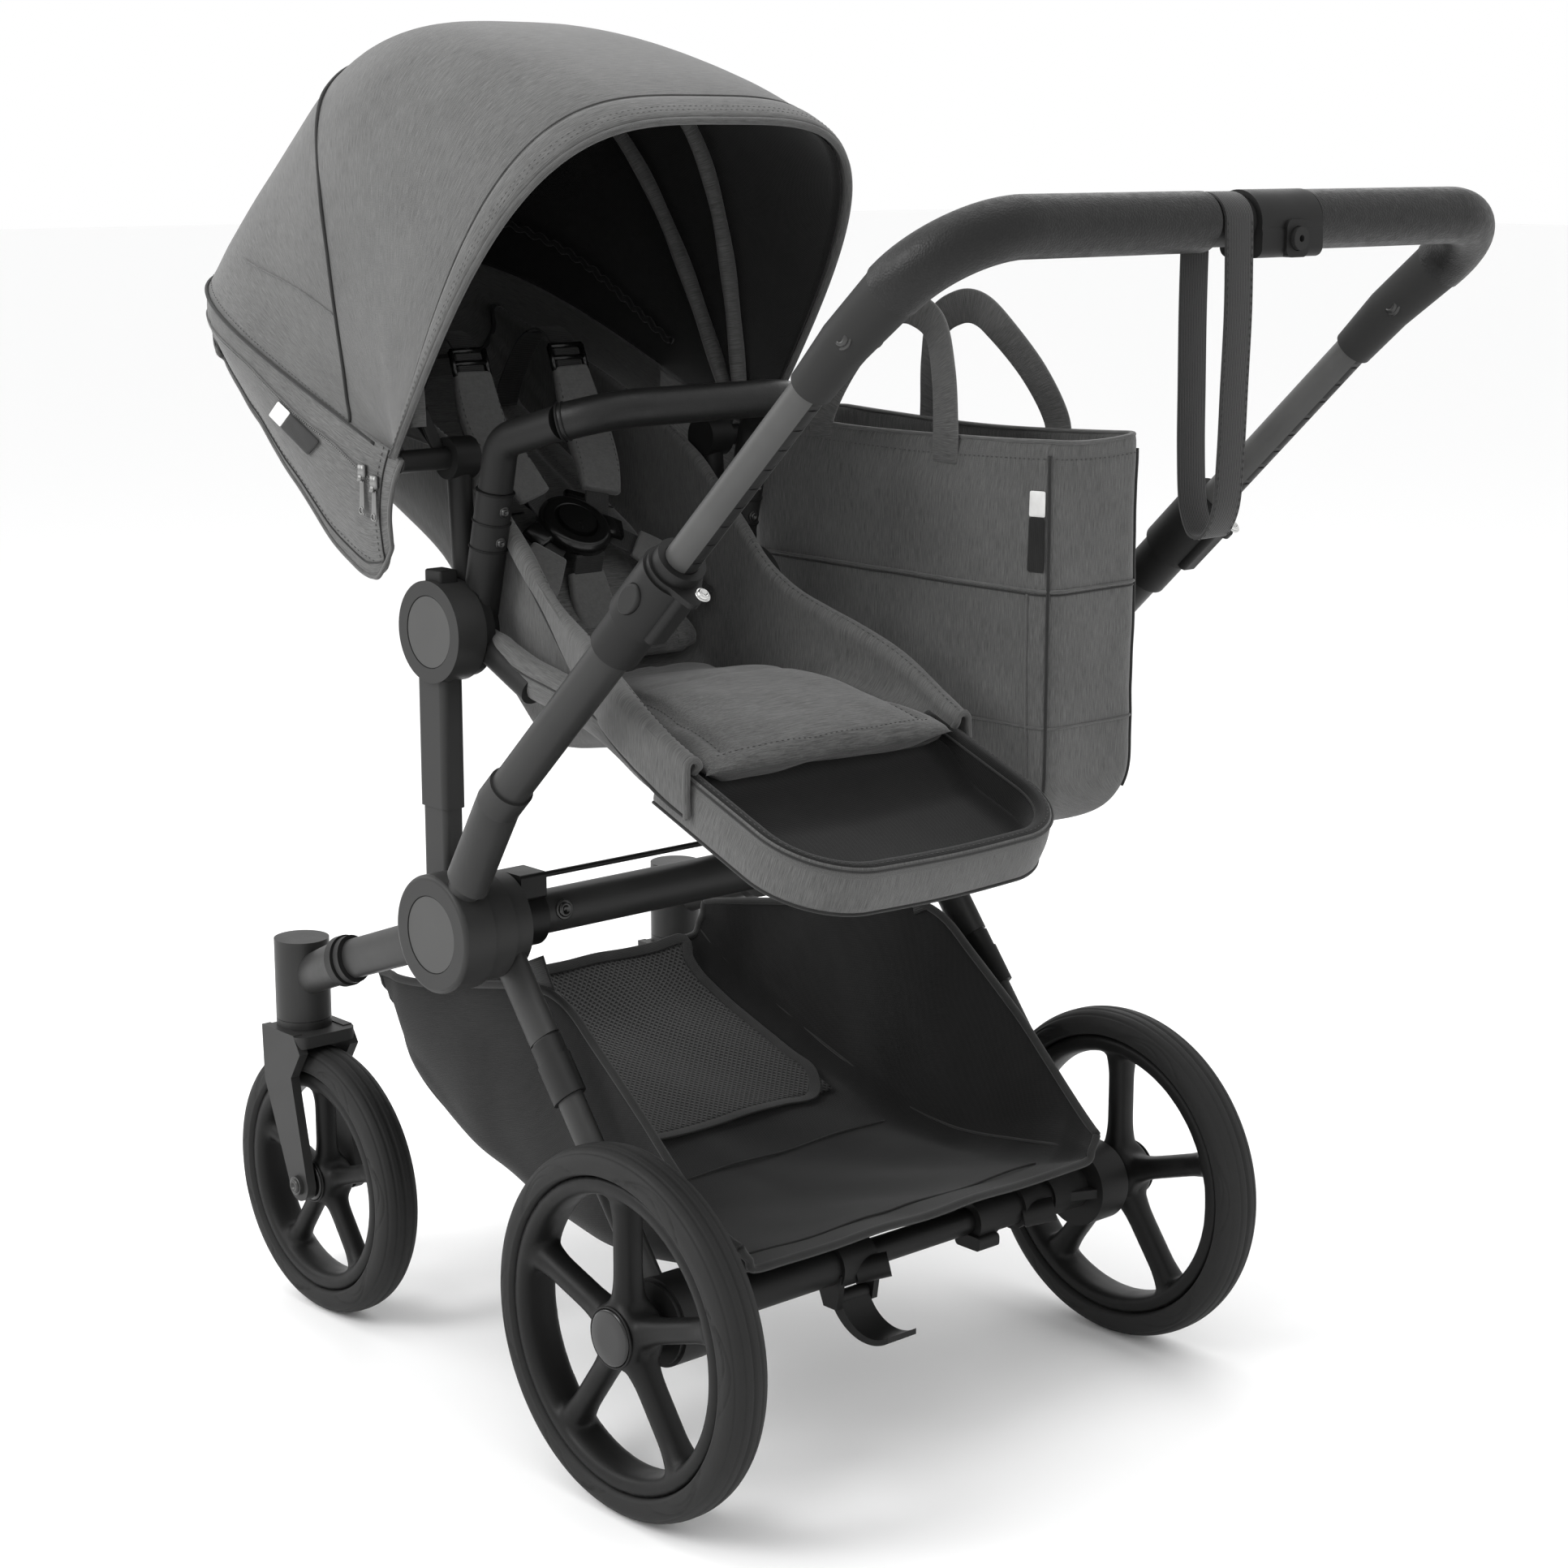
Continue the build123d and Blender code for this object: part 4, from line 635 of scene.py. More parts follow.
def arch_row(angle, cols=121, grow=0.0, first=0.0):
    """Evenly spaced points round one arched section, from the left pivot over the crown to the right."""
    reach, half, square = soft_numbers(angle)
    reach, half = reach + grow, half + grow
    a = radians(angle)
    dense = []
    for k in range(361):
        t = pi - pi * k / 360
        c, s = cos(t), sin(t)
        x = (min(half, RIGHT_HALF + grow) if c >= 0 else -half) * abs(c) ** (2 / square)
        r = max(reach * abs(s) ** (2 / square), first)
        dense.append(P(SEAT_MID + x, PIVOT_Y + r * cos(a), PIVOT_Z + r * sin(a)))
    return even(dense, cols)


def canopy_rows(angles, grow=0.0, cols=121):
    return [arch_row(a, cols, grow, 4.0) for a in angles]


steps = [mix(RIM, COLLAR, k / 64) for k in range(65)]
outer = grid("canopy_cover", canopy_rows(steps))
thicken(outer, 0.0026, -1.0)
fix_normals(outer)


def cover_motion(obj):
    """Bakes the piece's placement into its mesh."""
    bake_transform(obj)


# lining, a little inside the cover
lining = grid("canopy_lining", canopy_rows([mix(RIM - 0.6, COLLAR + 0.5, k / 40) for k in range(41)], -6.0,
                                           97), flip=True)
thicken(lining, 0.0012, 0.0)

# padded band round the open edge, with a rolled edge
BAND = 6.2
band_rows = []
for k in range(15):
    t = k / 14
    angle = RIM + 0.5 - BAND * t
    lift = 3.4 * sqrt(max(0.0, 1 - (2 * t - 1) ** 4)) * (1 - 0.25 * t)
    band_rows.append(arch_row(min(angle, RIM + 0.5), 161, lift - 0.4, 5.0))
band = grid("canopy_band", band_rows)
thicken(band, 0.0022, -1.0)


def on_cover(angle, share, grow=0.6):
    """A point on the cover at an angle and a share of the way round from its left edge."""
    row = arch_row(angle, 201, grow, 4.0)
    k = share * 200
    i = min(199, int(k))
    return row[i].lerp(row[i + 1], k - i)


rim_roll = sweep("canopy_rim_roll", arch_row(RIM + 0.55, 181, -1.6, 5.0), ring(0.0030, 10))

# seams: rows of stitches and piping
def stitches(name, line, length=0.0032, gap=0.0022, radius=0.00035):
    """A row of small raised stitches along a line."""
    total = sum((b - a).length for a, b in zip(line, line[1:]))
    count = max(2, int(total / (length + gap)))
    places = even(line, count * 2 + 1)
    verts, faces = [], []
    for k in range(count):
        a, b = places[2 * k], places[2 * k + 1]
        along = (b - a).normalized()
        side = along.orthogonal().normalized()
        top = along.cross(side)
        base = len(verts)
        for p, r in ((a, 0.3), (a.lerp(b, 0.3), 1.0), (a.lerp(b, 0.7), 1.0), (b, 0.3)):
            for q in range(5):
                w = 2 * pi * q / 5
                verts.append(p + (side * cos(w) + top * sin(w)) * radius * r)
        for r in range(3):
            for q in range(5):
                n = (q + 1) % 5
                faces.append((base + r * 5 + q, base + r * 5 + n, base + (r + 1) * 5 + n,
                              base + (r + 1) * 5 + q))
        faces.append(tuple(base + q for q in range(5))[::-1])
        faces.append(tuple(base + 15 + q for q in range(5)))
    return new_object(name, verts, faces)


band_stitch = [stitches("canopy_band_stitch_%d" % k, arch_row(RIM - d, 181, 2.6, 6.0)) for k,
               d in enumerate((1.1, 2.0))]
band_edge = sweep("canopy_band_edge", arch_row(RIM - BAND + 0.1, 181, 0.3, 5.0), ring(0.0009, 8))

# the rib seam: over the crown and down both sides to the collar, as (angle, share)
RIB = [(57.0, 0.5), (57.4, 0.42), (58.0, 0.365), (58.6, 0.317), (58.8, 0.243), (57.0, 0.197), (52.5, 0.155),
       (42.0, 0.109), (31.0, 0.084), (24.0, 0.070), (20.2, 0.066)]
rib_left = smooth([on_cover(a, s, 0.8) for a, s in RIB], 120)
rib_right = smooth([on_cover(a, 1 - s, 0.8) for a, s in RIB], 120)
rib_line = rib_left[::-1] + rib_right[1:]
rib_seam = sweep("canopy_rib_seam", rib_line, ring(0.0016, 8))

# yoke seam across the back, between the two ribs
YOKE = ((49.5, 0.146), (39.5, 0.205), (31.0, 0.285), (26.5, 0.372), (25.0, 0.45))
yoke = smooth([on_cover(a, s, 0.4) for a, s in YOKE] + [on_cover(a, 1 - s, 0.4) for a, s in YOKE[::-1]], 160)
yoke_seam = sweep("canopy_yoke_seam", yoke, ring(0.0007, 6))

# flap below the collar: it follows the collar's plan and hangs down to its hem
HEM = ((422, 772), (442, 786), (466, 806), (482, 820), (500, 831), (520, 846), (560, 871), (600, 891),
       (640, 904), (700, 906))
FRONT_EDGE = ((255, 810), (263, 796), (268, 783), (276, 761), (281, 743), (290, 725))
CORNER = ((290, 725), (296, 717), (304, 712), (314, 709), (325, 710), (337, 714), (372, 732), (402, 756),
          (422, 772))
ZIP_LINE = ((250, 772), (283, 786), (309, 799), (343, 814), (382, 829), (441, 854), (466, 865), (501, 880),
            (560, 899), (640, 922))
collar_row = arch_row(COLLAR, 201, 0.0, 22.0)
FLAP_STEPS = 30


def along(table, count):
    """Evenly spaced (y, z) points along a side-view outline."""
    return [(p.y, p.z) for p in even(smooth([Vector((0, y, z)) for y, z in table], 80), count)]


front_edge = along(FRONT_EDGE, FLAP_STEPS + 1)
side_count = sum(1 for p in collar_row[:100] if p.y * 1000 - AXLE_Y < 422)
corner_edge = along(CORNER, side_count + 1)
flap_rows = []
for k in range(FLAP_STEPS + 1):
    t = k / FLAP_STEPS
    row = []
    for i, top in enumerate(collar_row):
        n = min(i, 200 - i)
        ty, tz = top.y * 1000 - AXLE_Y, top.z * 1000
        if n < side_count:
            # the side's front end is drawn between the collar, the front edge and the rounded corner
            low_y, low_z = corner_edge[n]
            y, z = mix(ty, low_y, t), mix(tz, low_z, t)
            first = collar_row[0].y * 1000 - AXLE_Y, collar_row[0].z * 1000
            w = (1 - n / side_count) ** 2.2
            y += w * (front_edge[k][0] - mix(first[0], corner_edge[0][0], t))
            z += w * (front_edge[k][1] - mix(first[1], corner_edge[0][1], t))
        else:
            y, z = ty, mix(tz, ramp(HEM, ty), t)
        bulge = 3.5 * sin(pi * min(1, t * 1.15)) - 9.0 * t * t
        if n < 60:
            out = Vector((-1 if i < 100 else 1, 0, 0))
        else:
            out = Vector((0, 1, 0))
        front = 1.5 * (1 - n / side_count) if n < side_count else 0.0
        row.append(Vector((top.x, (y + AXLE_Y) / 1000, z / 1000)) + out * (bulge + front) / 1000)
    flap_rows.append(row)
flap = grid("canopy_flap", flap_rows)
thicken(flap, 0.0024, -1.0)
fix_normals(flap)


def flap_point(share, t, grow=0.8):
    """A point on the flap's outer face, a share of the way round and t of the way down."""
    k, m = share * 200, t * FLAP_STEPS
    i, j = min(199, int(k)), min(FLAP_STEPS - 1, int(m))
    a = flap_rows[j][i].lerp(flap_rows[j][i + 1], k - i)
    b = flap_rows[j + 1][i].lerp(flap_rows[j + 1][i + 1], k - i)
    p = a.lerp(b, m - j)
    across = flap_rows[j][i + 1] - flap_rows[j][i]
    down = flap_rows[j + 1][i] - flap_rows[j][i]
    n = across.cross(down).normalized()
    if n.dot(p - P(SEAT_MID, 350, 800)) < 0:
        n.negate()
    return p + n * grow / 1000.0


def flap_edge(inset, grow):
    """A line round the flap's two front edges and its hem, a share inside them."""
    up = [flap_point(inset * 0.14, t / 20, grow) for t in range(0, 19)]
    down = [flap_point(1 - inset * 0.14, t / 20, grow) for t in range(18, -1, -1)]
    low = [flap_point(k / 200, 1 - inset, grow) for k in range(3 + int(inset * 30), 198 - int(inset * 30))]
    return smooth((up + low + down)[::2], 500)


hem_line = flap_edge(0.0, 0.0)
hem_roll = sweep("canopy_hem_roll", hem_line, ring(0.0020, 8))
hem_piping = sweep("canopy_hem_piping", flap_edge(0.10, 0.5), ring(0.0008, 6))
hem_stitch = stitches("canopy_hem_stitch", flap_edge(0.14, 0.6))
collar_piping = sweep("canopy_collar_piping", arch_row(COLLAR + 0.1, 201, 1.2, 14.0)[4:-4], ring(0.0016, 8))
collar_stitch = stitches("canopy_collar_stitch", arch_row(COLLAR + 1.3, 201, 0.4, 14.0)[6:-6])

# zip below the collar, both sides, with two pulls at its left end
def zip_share(i):
    """How far down the flap's column the zip runs."""
    for k in range(FLAP_STEPS + 1):
        p = flap_rows[k][i]
        if p.z * 1000 <= ramp(ZIP_LINE, p.y * 1000 - AXLE_Y):
            return k / FLAP_STEPS
    return 1.0


ZIP_T = [zip_share(i) for i in range(201)]
ZIP_T = [sum(ZIP_T[max(0, i - 4):i + 5]) / len(ZIP_T[max(0, i - 4):i + 5]) for i in range(201)]


def zip_t(share):
    return ZIP_T[round(share * 200)]


zip_line = smooth([flap_point(k / 200, zip_t(k / 200), 0.5) for k in range(5, 197, 3)], 420)
zip_cover = sweep("canopy_zip_cover", zip_line, flat_section(0.0022, 0.0014))
zip_teeth = stitches("canopy_zip_teeth", [p + Vector((0, 0, -0.0022)) for p in zip_line], 0.0016, 0.0010,
                     0.0008)


def flap_spot(y, z, grow):
    """The point of the flap's left side nearest to a place in side view."""
    spot = min(((k, i) for k in range(FLAP_STEPS + 1) for i in range(90)),
               key=lambda ki: (flap_rows[ki[0]][ki[1]] - Vector((flap_rows[ki[0]][ki[1]].x,
                       *P(0, y, z)[1:]))).length)
    return flap_point(spot[1] / 200, spot[0] / FLAP_STEPS, grow)


def zip_pull(name, y, z, low_y, low_z):
    top = flap_spot(y, z, 3.0)
    low = flap_spot(low_y, low_z, 5.0)
    down = (low - top).normalized()
    length = (low - top).length
    normal = Vector((-1, 0, 0))
    parts = [sweep(name, [top + down * length * s for s in (0.22, 0.30, 0.5, 0.72, 0.9, 1.0)],
                   flat_section(0.0068, 0.0018), up=normal,
                   scale=lambda s: 0.72 + 0.34 * s if s < 0.95 else 0.8),
             sweep(name + "_slider", [top - down * 0.004, top, top + down * 0.006],
                   flat_section(0.0090, 0.0046), up=normal),
             sweep(name + "_bail", [top + down * 0.003 + normal * 0.001,
                                    top + down * 0.009 + normal * 0.003], flat_section(0.0046, 0.0022),
                                    up=normal)]
    eye = low - down * 0.0036 + normal * 0.0012
    side = down.cross(normal).normalized()
    hoop = [eye + (side * cos(a) + down * sin(a)) * 0.0026 for a in [2 * pi * k / 20 for k in range(20)]]
    parts.append(sweep(name + "_eye", hoop, ring(0.0006, 6), closed=True))
    return parts


pulls = zip_pull("zip_pull_a", 309, 797, 307, 764) + zip_pull("zip_pull_b", 291, 790, 290, 757)

# plain two-tone cloth tag on the zip line
def tag(name, corners, split):
    """A small folded label: a pale end and a dark end, given by its four corners."""
    a, b, c, d = corners
    out = []
    for part, (s0, s1), look in (("pale", (0.0, split), TAG_WHITE), ("dark", (split, 1.0), TAG_BLACK)):
        rows = [[a.lerp(b, mix(s0, s1, i / 8)).lerp(d.lerp(c, mix(s0, s1, i / 8)), j / 5)
                 for i in range(9)] for j in range(6)]
        piece = grid(f"{name}_{part}", rows)
        thicken(piece, 0.0012, 0.0, 1)
        piece.data.materials.append(look.material)
        out.append(piece)
    return join(name, out)


tag_spots = [flap_spot(y, z, 2.4) for y, z in ((432, 845), (369, 815), (387, 803), (449, 832))]
canopy_tag = tag("canopy_tag", tag_spots, 0.30)

# two cloth-sleeved bows inside the canopy; the front one folds with the bow's body
def sleeve(name, angle, reach, half, body, replaces=()):
    a = radians(angle)
    pivot_line = []
    for k in range(97):
        t = pi - pi * k / 96
        c, s = cos(t), sin(t)
        x = half * (1 if c >= 0 else -1) * abs(c) ** (2 / 3.3)
        r = max(reach * abs(s) ** (2 / 3.3), 0.0)
        pivot_line.append(P(SEAT_MID + x, PIVOT_Y + r * cos(a), PIVOT_Z + r * sin(a)))
    path = [p for p in even(pivot_line, 161) if (p - P(SEAT_MID, PIVOT_Y, PIVOT_Z)).z > 0.026]
    width = 0.0075
    obj = sweep(name, path, ring(width, 14, 0.72),
                scale=lambda s: 1.0 + 0.06 * sin(s * 61) + 0.04 * sin(s * 23))
    dress(obj, FABRIC_V, body, replaces)
    hem = sweep(name + "_seam", [p + (p - P(SEAT_MID, PIVOT_Y, PIVOT_Z)).normalized() * 0.0056
                                 for p in path], ring(0.0009, 6))
    dress(hem, THREAD, body)
    return obj


sleeve("front_bow_sleeve", 84, 316, 170, "front_bow", ("canopy_bow",))
sleeve("rear_bow_sleeve", 64, 352, 166, "seat")

for side in (-1, 1):
    for name, angle, body in (("front_bow_foot", 84, "front_bow"), ("rear_bow_foot", 64, "seat")):
        foot = P(SEAT_MID + side * 152, PIVOT_Y + 6 * cos(radians(angle)), PIVOT_Z + 6 * sin(radians(angle)))
        top = P(SEAT_MID + side * 165, PIVOT_Y + 40 * cos(radians(angle)), PIVOT_Z + 40 * sin(radians(angle)))
        leg = sweep(f"{name}_{'left' if side < 0 else 'right'}", [foot.lerp(top, k / 6) for k in range(7)],
                    flat_section(0.011, 0.004))
        dress(leg, PLASTIC, body)

# lining seam gathered across the back
gather = smooth([P(SEAT_MID + x, y, z) for x, y, z in ((-168, 330, 905), (-150, 470, 985), (-95, 565, 1000),
                                                       (0, 580, 996),
                                                       (95, 565, 992), (150, 480, 955), (170, 360, 880))],
                                                       220)
for i, p in enumerate(gather):
    p += Vector((0, -0.003, 0.0018 * sin(i * 1.3)))
dress(sweep("lining_gathered_seam", gather, ring(0.0030, 8, 0.7), scale=lambda s: 1 + 0.10 * sin(s * 120)),
      LINING, "seat")

dress(outer, FABRIC, None, ("canopy_shell",))
dress(lining, LINING, None)
dress(band, FABRIC, None)
for piece in (outer, lining, band):
    cover_motion(piece)
for piece in (rim_roll, band_edge):
    dress(piece, PIPING_GREY)
    cover_motion(piece)
for piece in band_stitch:
    dress(piece, THREAD)
    cover_motion(piece)
for piece, look in ((rib_seam, PIPING), (yoke_seam, PIPING_GREY), (collar_stitch, THREAD)):
    dress(piece, look)
    cover_motion(piece)
dress(collar_piping, PIPING, "seat")
dress(flap, FABRIC, "seat")
dress(hem_roll, PIPING_GREY, "seat")
dress(hem_piping, PIPING, "seat")
dress(hem_stitch, THREAD, "seat")
dress(zip_cover, PIPING_GREY, "seat")
dress(zip_teeth, ZIP, "seat")
for piece in pulls:
    dress(piece, ZIP, "seat")
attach(canopy_tag, "seat")

# ---------------------------------------------------------------------------------------------------
# Seat: a fabric tub rolled over its side rails, padded seat and back, footrest and harness
# ---------------------------------------------------------------------------------------------------
# Stations from the front edge to the top: base (y, z), wing top (y, z), half width low and high,
# roll and drop.
TUB = (((-20, 577), (-40, 600), 129, 136, 6, 38), ((6, 582), (-10, 614), 127, 137, 7, 38),
       ((35, 588), (20, 630), 124, 136, 8, 36), ((72, 592), (62, 650), 119, 130, 8, 36),
       ((108, 588), (104, 668), 112, 119, 7, 30), ((142, 581), (140, 684), 107, 113, 6, 20),
       ((172, 577), (172, 706), 105, 111, 5, 12), ((198, 579), (202, 736), 105, 111, 5, 8),
       ((220, 595), (232, 766), 105, 111, 4, 8), ((244, 621), (262, 790), 105, 111, 4, 8),
       ((284, 667), (300, 812), 106, 112, 4, 8), ((326, 710), (340, 830), 108, 114, 4, 8),
       ((380, 742), (400, 850), 112, 120, 4, 8), ((440, 778), (460, 868), 116, 126, 4, 8),
       ((504, 820), (520, 886), 118, 128, 4, 8), ((552, 864), (562, 902), 116, 124, 4, 8))


def tub_row(base, wing, low, high, roll, drop):
    """One cross-section of the tub, from the left rail's outer edge to the right's."""
    half = []
    by, bz = base
    wy, wz = wing
    for k in range(9):
        half.append((low * 0.80 * k / 8, by, bz - 3.0 * cos(pi * k / 16)))
    rise = min(26.0, 0.4 * hypot(wy - by, wz - bz))
    total = hypot(wy - by, wz - bz) or 1.0
    for k in range(1, 7):
        a = pi / 2 * k / 6
        t = rise * (1 - cos(a)) / total
        half.append((low * (0.80 + 0.20 * sin(a)), mix(by, wy, t), mix(bz, wz, t)))
    for k in range(1, 11):
        t = mix(rise / total, 1.0, k / 10)
        belly = 3.0 * sin(pi * k / 10)
        half.append((mix(low, high, t) + belly, mix(by, wy, t), mix(bz, wz, t)))
    for k in range(1, 7):
        a = pi * k / 6
        half.append((high + roll * (1 - cos(a)), wy, wz + roll * sin(a)))
    for k in range(1, 6):
        half.append((high + 2 * roll + 0.6 * sin(pi * k / 5), wy, wz - drop * k / 5))
    left = [P(SEAT_MID - x, y, z) for x, y, z in reversed(half[1:])]
    return left + [P(SEAT_MID + x, y, z) for x, y, z in half]


def tub_station(s):
    """The tub's numbers at a share of the way from front to top."""
    k = s * (len(TUB) - 1)
    i = min(len(TUB) - 2, int(k))
    rows = [TUB[max(0, min(len(TUB) - 1, i + d))] for d in (-1, 0, 1, 2)]
    flat = [[r[0][0], r[0][1], r[1][0], r[1][1], *r[2:]] for r in rows]
    t = k - i
    v = [0.5 * (2 * b + (c - a) * t + (2 * a - 5 * b + 4 * c - d) * t * t + (3 * b - a - 3 * c + d) * t ** 3)
         for a, b, c, d in zip(*flat)]
    return (v[0], v[1]), (v[2], v[3]), *v[4:]


tub_rows = [tub_row(*tub_station(k / 72)) for k in range(73)]
seat_tub = grid("seat_tub", tub_rows)
wrinkle(seat_tub, 0.0022, 0.055, 3.0)
thicken(seat_tub, 0.0042, 0.0, 1)
fix_normals(seat_tub)
dress(seat_tub, FABRIC, "seat", ("seat_shell",))

COLS = len(tub_rows[0])
for name, column, look, radius in (("left_rail_piping", 6, PIPING_GREY, 0.0012),
                                   ("right_rail_piping", COLS - 7, PIPING_GREY, 0.0012),
                                   ("left_inner_piping", 12, PIPING_GREY, 0.0011),
                                   ("right_inner_piping", COLS - 13, PIPING_GREY, 0.0011),
                                   ("left_rail_hem", 0, PIPING, 0.0016),
                                   ("right_rail_hem", COLS - 1, PIPING, 0.0016)):
    line = smooth([row[column] for row in tub_rows[::4]], 140)
    dress(sweep(name, line, ring(radius, 8)), look, "seat")
for name, column in (("left_rail_stitch", 9), ("right_rail_stitch", COLS - 10)):
    line = smooth([row[column] for row in tub_rows[::4]], 140)
    dress(stitches(name, [p + Vector((0, 0, 0.0026)) for p in line]), THREAD, "seat")
for word, line in (("left", tub_rows[0][:17]), ("right", tub_rows[0][-17:])):
    dress(sweep(f"rail_end_binding_{word}", smooth(line, 60), ring(0.0030, 10)), PIPING_GREY, "seat")
dress(sweep("seat_top_binding", smooth(tub_rows[-1][::3], 90), ring(0.0032, 10)), PIPING, "seat")


# padded side rails: they run from the adapters' arms along the tub's rolled edges into the footrest's hoop
for side, word in ((-1, "left"), (1, "right")):
    line = smooth([P(SEAT_MID + side * x, y, z) for x, y, z in (
        (131, 236, 668), (132.5, 206, 652), (133, 170, 640), (133, 140, 634), (134, 108, 628),
        (136, 76, 620), (138, 44, 608),
        (139, 14, 594), (138, -14, 582), (136, -36, 574))], 70)
    rail = sweep(f"side_rail_{word}", line, ring(0.0165, 20, 0.62), up=(1, 0, 0),
                 scale=lambda s: (0.55 + 0.45 * ease(s / 0.12)) * (1 - 0.25 * ease((s - 0.8) / 0.2)))
    dress(rail, FABRIC, "seat")
    seam = [p + Vector((side * 0.0098, 0, 0.004)) for p in line]
    dress(sweep(f"side_rail_seam_{word}", seam[8:-6], ring(0.0009, 6)), PIPING, "seat")


# apron: the cloth between the seat's rim and the inside of the collar
rim_points = ([row[5] for row in tub_rows[48:72:3]] + tub_rows[-1][5:66:3] + [row[65]
        for row in tub_rows[48:72:3]][::-1])
seat_rim = [p + Vector((0, -0.002, -0.003)) for p in even(rim_points, 121)]
inner_collar = even(arch_row(COLLAR + 2.0, 241, -7.0, 60.0)[20:-20], 121)
apron_rows = []
for k in range(13):
    t = k / 12
    apron_rows.append([a.lerp(b, t) + Vector((0, 0.006, -0.004)) * sin(pi * t) for a,
                       b in zip(inner_collar, seat_rim)])
apron = grid("canopy_apron", apron_rows)
thicken(apron, 0.0016, 0.0)
dress(apron, FABRIC, "seat")


def pad_mesh(name, line, half, thick, crown, round_by):
    """A closed pad about a centre line of (y, z) points: half(s) wide, thick(s) deep, rounded in plan."""
    spine = smooth([P(SEAT_MID, y, z) for y, z in line], 61)
    rows = []
    for i, p in enumerate(spine):
        a = spine[max(0, i - 1)]
        b = spine[min(60, i + 1)]
        t = (b - a).normalized()
        n = Vector((1, 0, 0)).cross(t).normalized()
        if n.z < 0:
            n.negate()
        s = i / 60
        length = (spine[-1] - spine[0]).length * 1000
        end = min(s, 1 - s) * length
        pull = 1.0 if end > round_by else sqrt(max(0.0, 1 - ((round_by - end) / round_by) ** 2))
        w = half(s) - round_by * (1 - pull)
        d = thick(s) * (0.25 + 0.75 * pull)
        row = []
        for k in range(48):
            q = 2 * pi * k / 48
            c, e = cos(q), sin(q)
            x = w * (1 if c >= 0 else -1) * abs(c) ** 0.34
            h = d / 2 * (1 if e >= 0 else -1) * abs(e) ** 0.7
            if e > 0:
                h += crown * (1 - (x / w) ** 2) * pull
            row.append(p + Vector((x / 1000, 0, 0)) + n * h / 1000)
        rows.append(row)
    obj = grid(name, rows, wrap=True)
    close_holes(obj)
    return obj


def puff(obj, voxel=0.005, pressure=4.0, cap=0.007):
    """Remeshes a pad and blows it up with cloth, holding each point within cap of where it began."""
    remesh = obj.modifiers.new("remesh", "REMESH")
    remesh.mode, remesh.voxel_size = "VOXEL", voxel
    apply_all(obj)
    start = [v.co.copy() for v in obj.data.vertices]
    cloth = obj.modifiers.new("cloth", "CLOTH")
    cloth.settings.use_pressure = True
    cloth.settings.uniform_pressure_force = pressure
    cloth.settings.effector_weights.gravity = 0.0
    cloth.settings.mass = 0.3
    cloth.settings.tension_stiffness = cloth.settings.compression_stiffness = 12.0
    cloth.settings.bending_stiffness = 0.8
    for f in range(1, 21):
        bpy.context.scene.frame_set(f)
    apply_all(obj)
    bpy.context.scene.frame_set(1)
    for v, s in zip(obj.data.vertices, start):
        d = v.co - s
        if d.length > cap:
            v.co = s + d.normalized() * cap
    relax = obj.modifiers.new("relax", "SMOOTH")
    relax.iterations, relax.factor = 3, 0.5
    sub = obj.modifiers.new("sub", "SUBSURF")
    sub.levels = sub.render_levels = 1
    return apply_all(obj)


def groove(obj, line, depth, width):
    """A sewn channel: points near the line sink into the pad."""
    tree = KDTree(len(line))
    for i, p in enumerate(line):
        tree.insert(p, i)
    tree.balance()
    obj.data.update()
    moves = []
    for v in obj.data.vertices:
        _, _, d = tree.find(v.co)
        if d < width * 3:
            moves.append((v.index, v.normal * -depth * 2.718 ** (-(d / width) ** 2)))
    for i, m in moves:
        obj.data.vertices[i].co += m
    obj.data.update()


def lay_on(obj, points, direction, lift):
    """Points dropped onto an object's surface along a direction, then lifted off it."""
    deps = bpy.context.evaluated_depsgraph_get()
    tree = BVHTree.FromObject(obj, deps)
    direction = Vector(direction).normalized()
    out = []
    for p in points:
        hit, normal, _, _ = tree.ray_cast(p - direction * 0.2, direction)
        if hit is not None:
            out.append(hit - direction * lift)
    return out


# the seat pad: crowned, with a curved front edge and two sewn lines
seat_pad = pad_mesh("seat_pad", ((-50, 587), (10, 602), (70, 615), (120, 614), (170, 605), (206, 610)),
                    lambda s: mix(134, 101, ease((s - 0.02) / 0.62)), lambda s: 15 - 6 * ease(1 - s * 4),
                    9.0, 9.0)
puff(seat_pad, 0.0052, 4.0, 0.006)
down = Vector((0, 0.12, -1))
pad_lines = []
for side in (-1, 1):
    line = smooth([P(SEAT_MID + side * x, y, 700) for x,
                   y in ((104, -38), (98, 10), (88, 60), (80, 110), (76, 150), (76, 196))], 110)
    pad_lines.append(line)
cross = smooth([P(SEAT_MID + x, y, 700) for x, y in ((-82, 92), (-40, 84), (0, 82), (40, 84), (82, 92))], 90)
for line in pad_lines + [cross]:
    groove(seat_pad, lay_on(seat_pad, line, down, 0.0), 0.0026 if line is not cross else 0.0016, 0.0055)
wrinkle(seat_pad, 0.0022, 0.045, 9.0)
dress(seat_pad, FABRIC_O, "seat", ("seat_pads",))
for k, line in enumerate(pad_lines):
    dress(stitches(f"seat_pad_stitch_{k}", lay_on(seat_pad, line, down, 0.0004)), THREAD, "seat")
edge = smooth([P(SEAT_MID + x, -52 - 9 * (1 - (x / 124) ** 2), 700) for x in range(-112, 113, 16)], 90)
front_edge = lay_on(seat_pad, [p + Vector((0, 0.010, 0)) for p in edge], down, 0.0003)
dress(stitches("seat_pad_front_stitch", front_edge), THREAD, "seat")

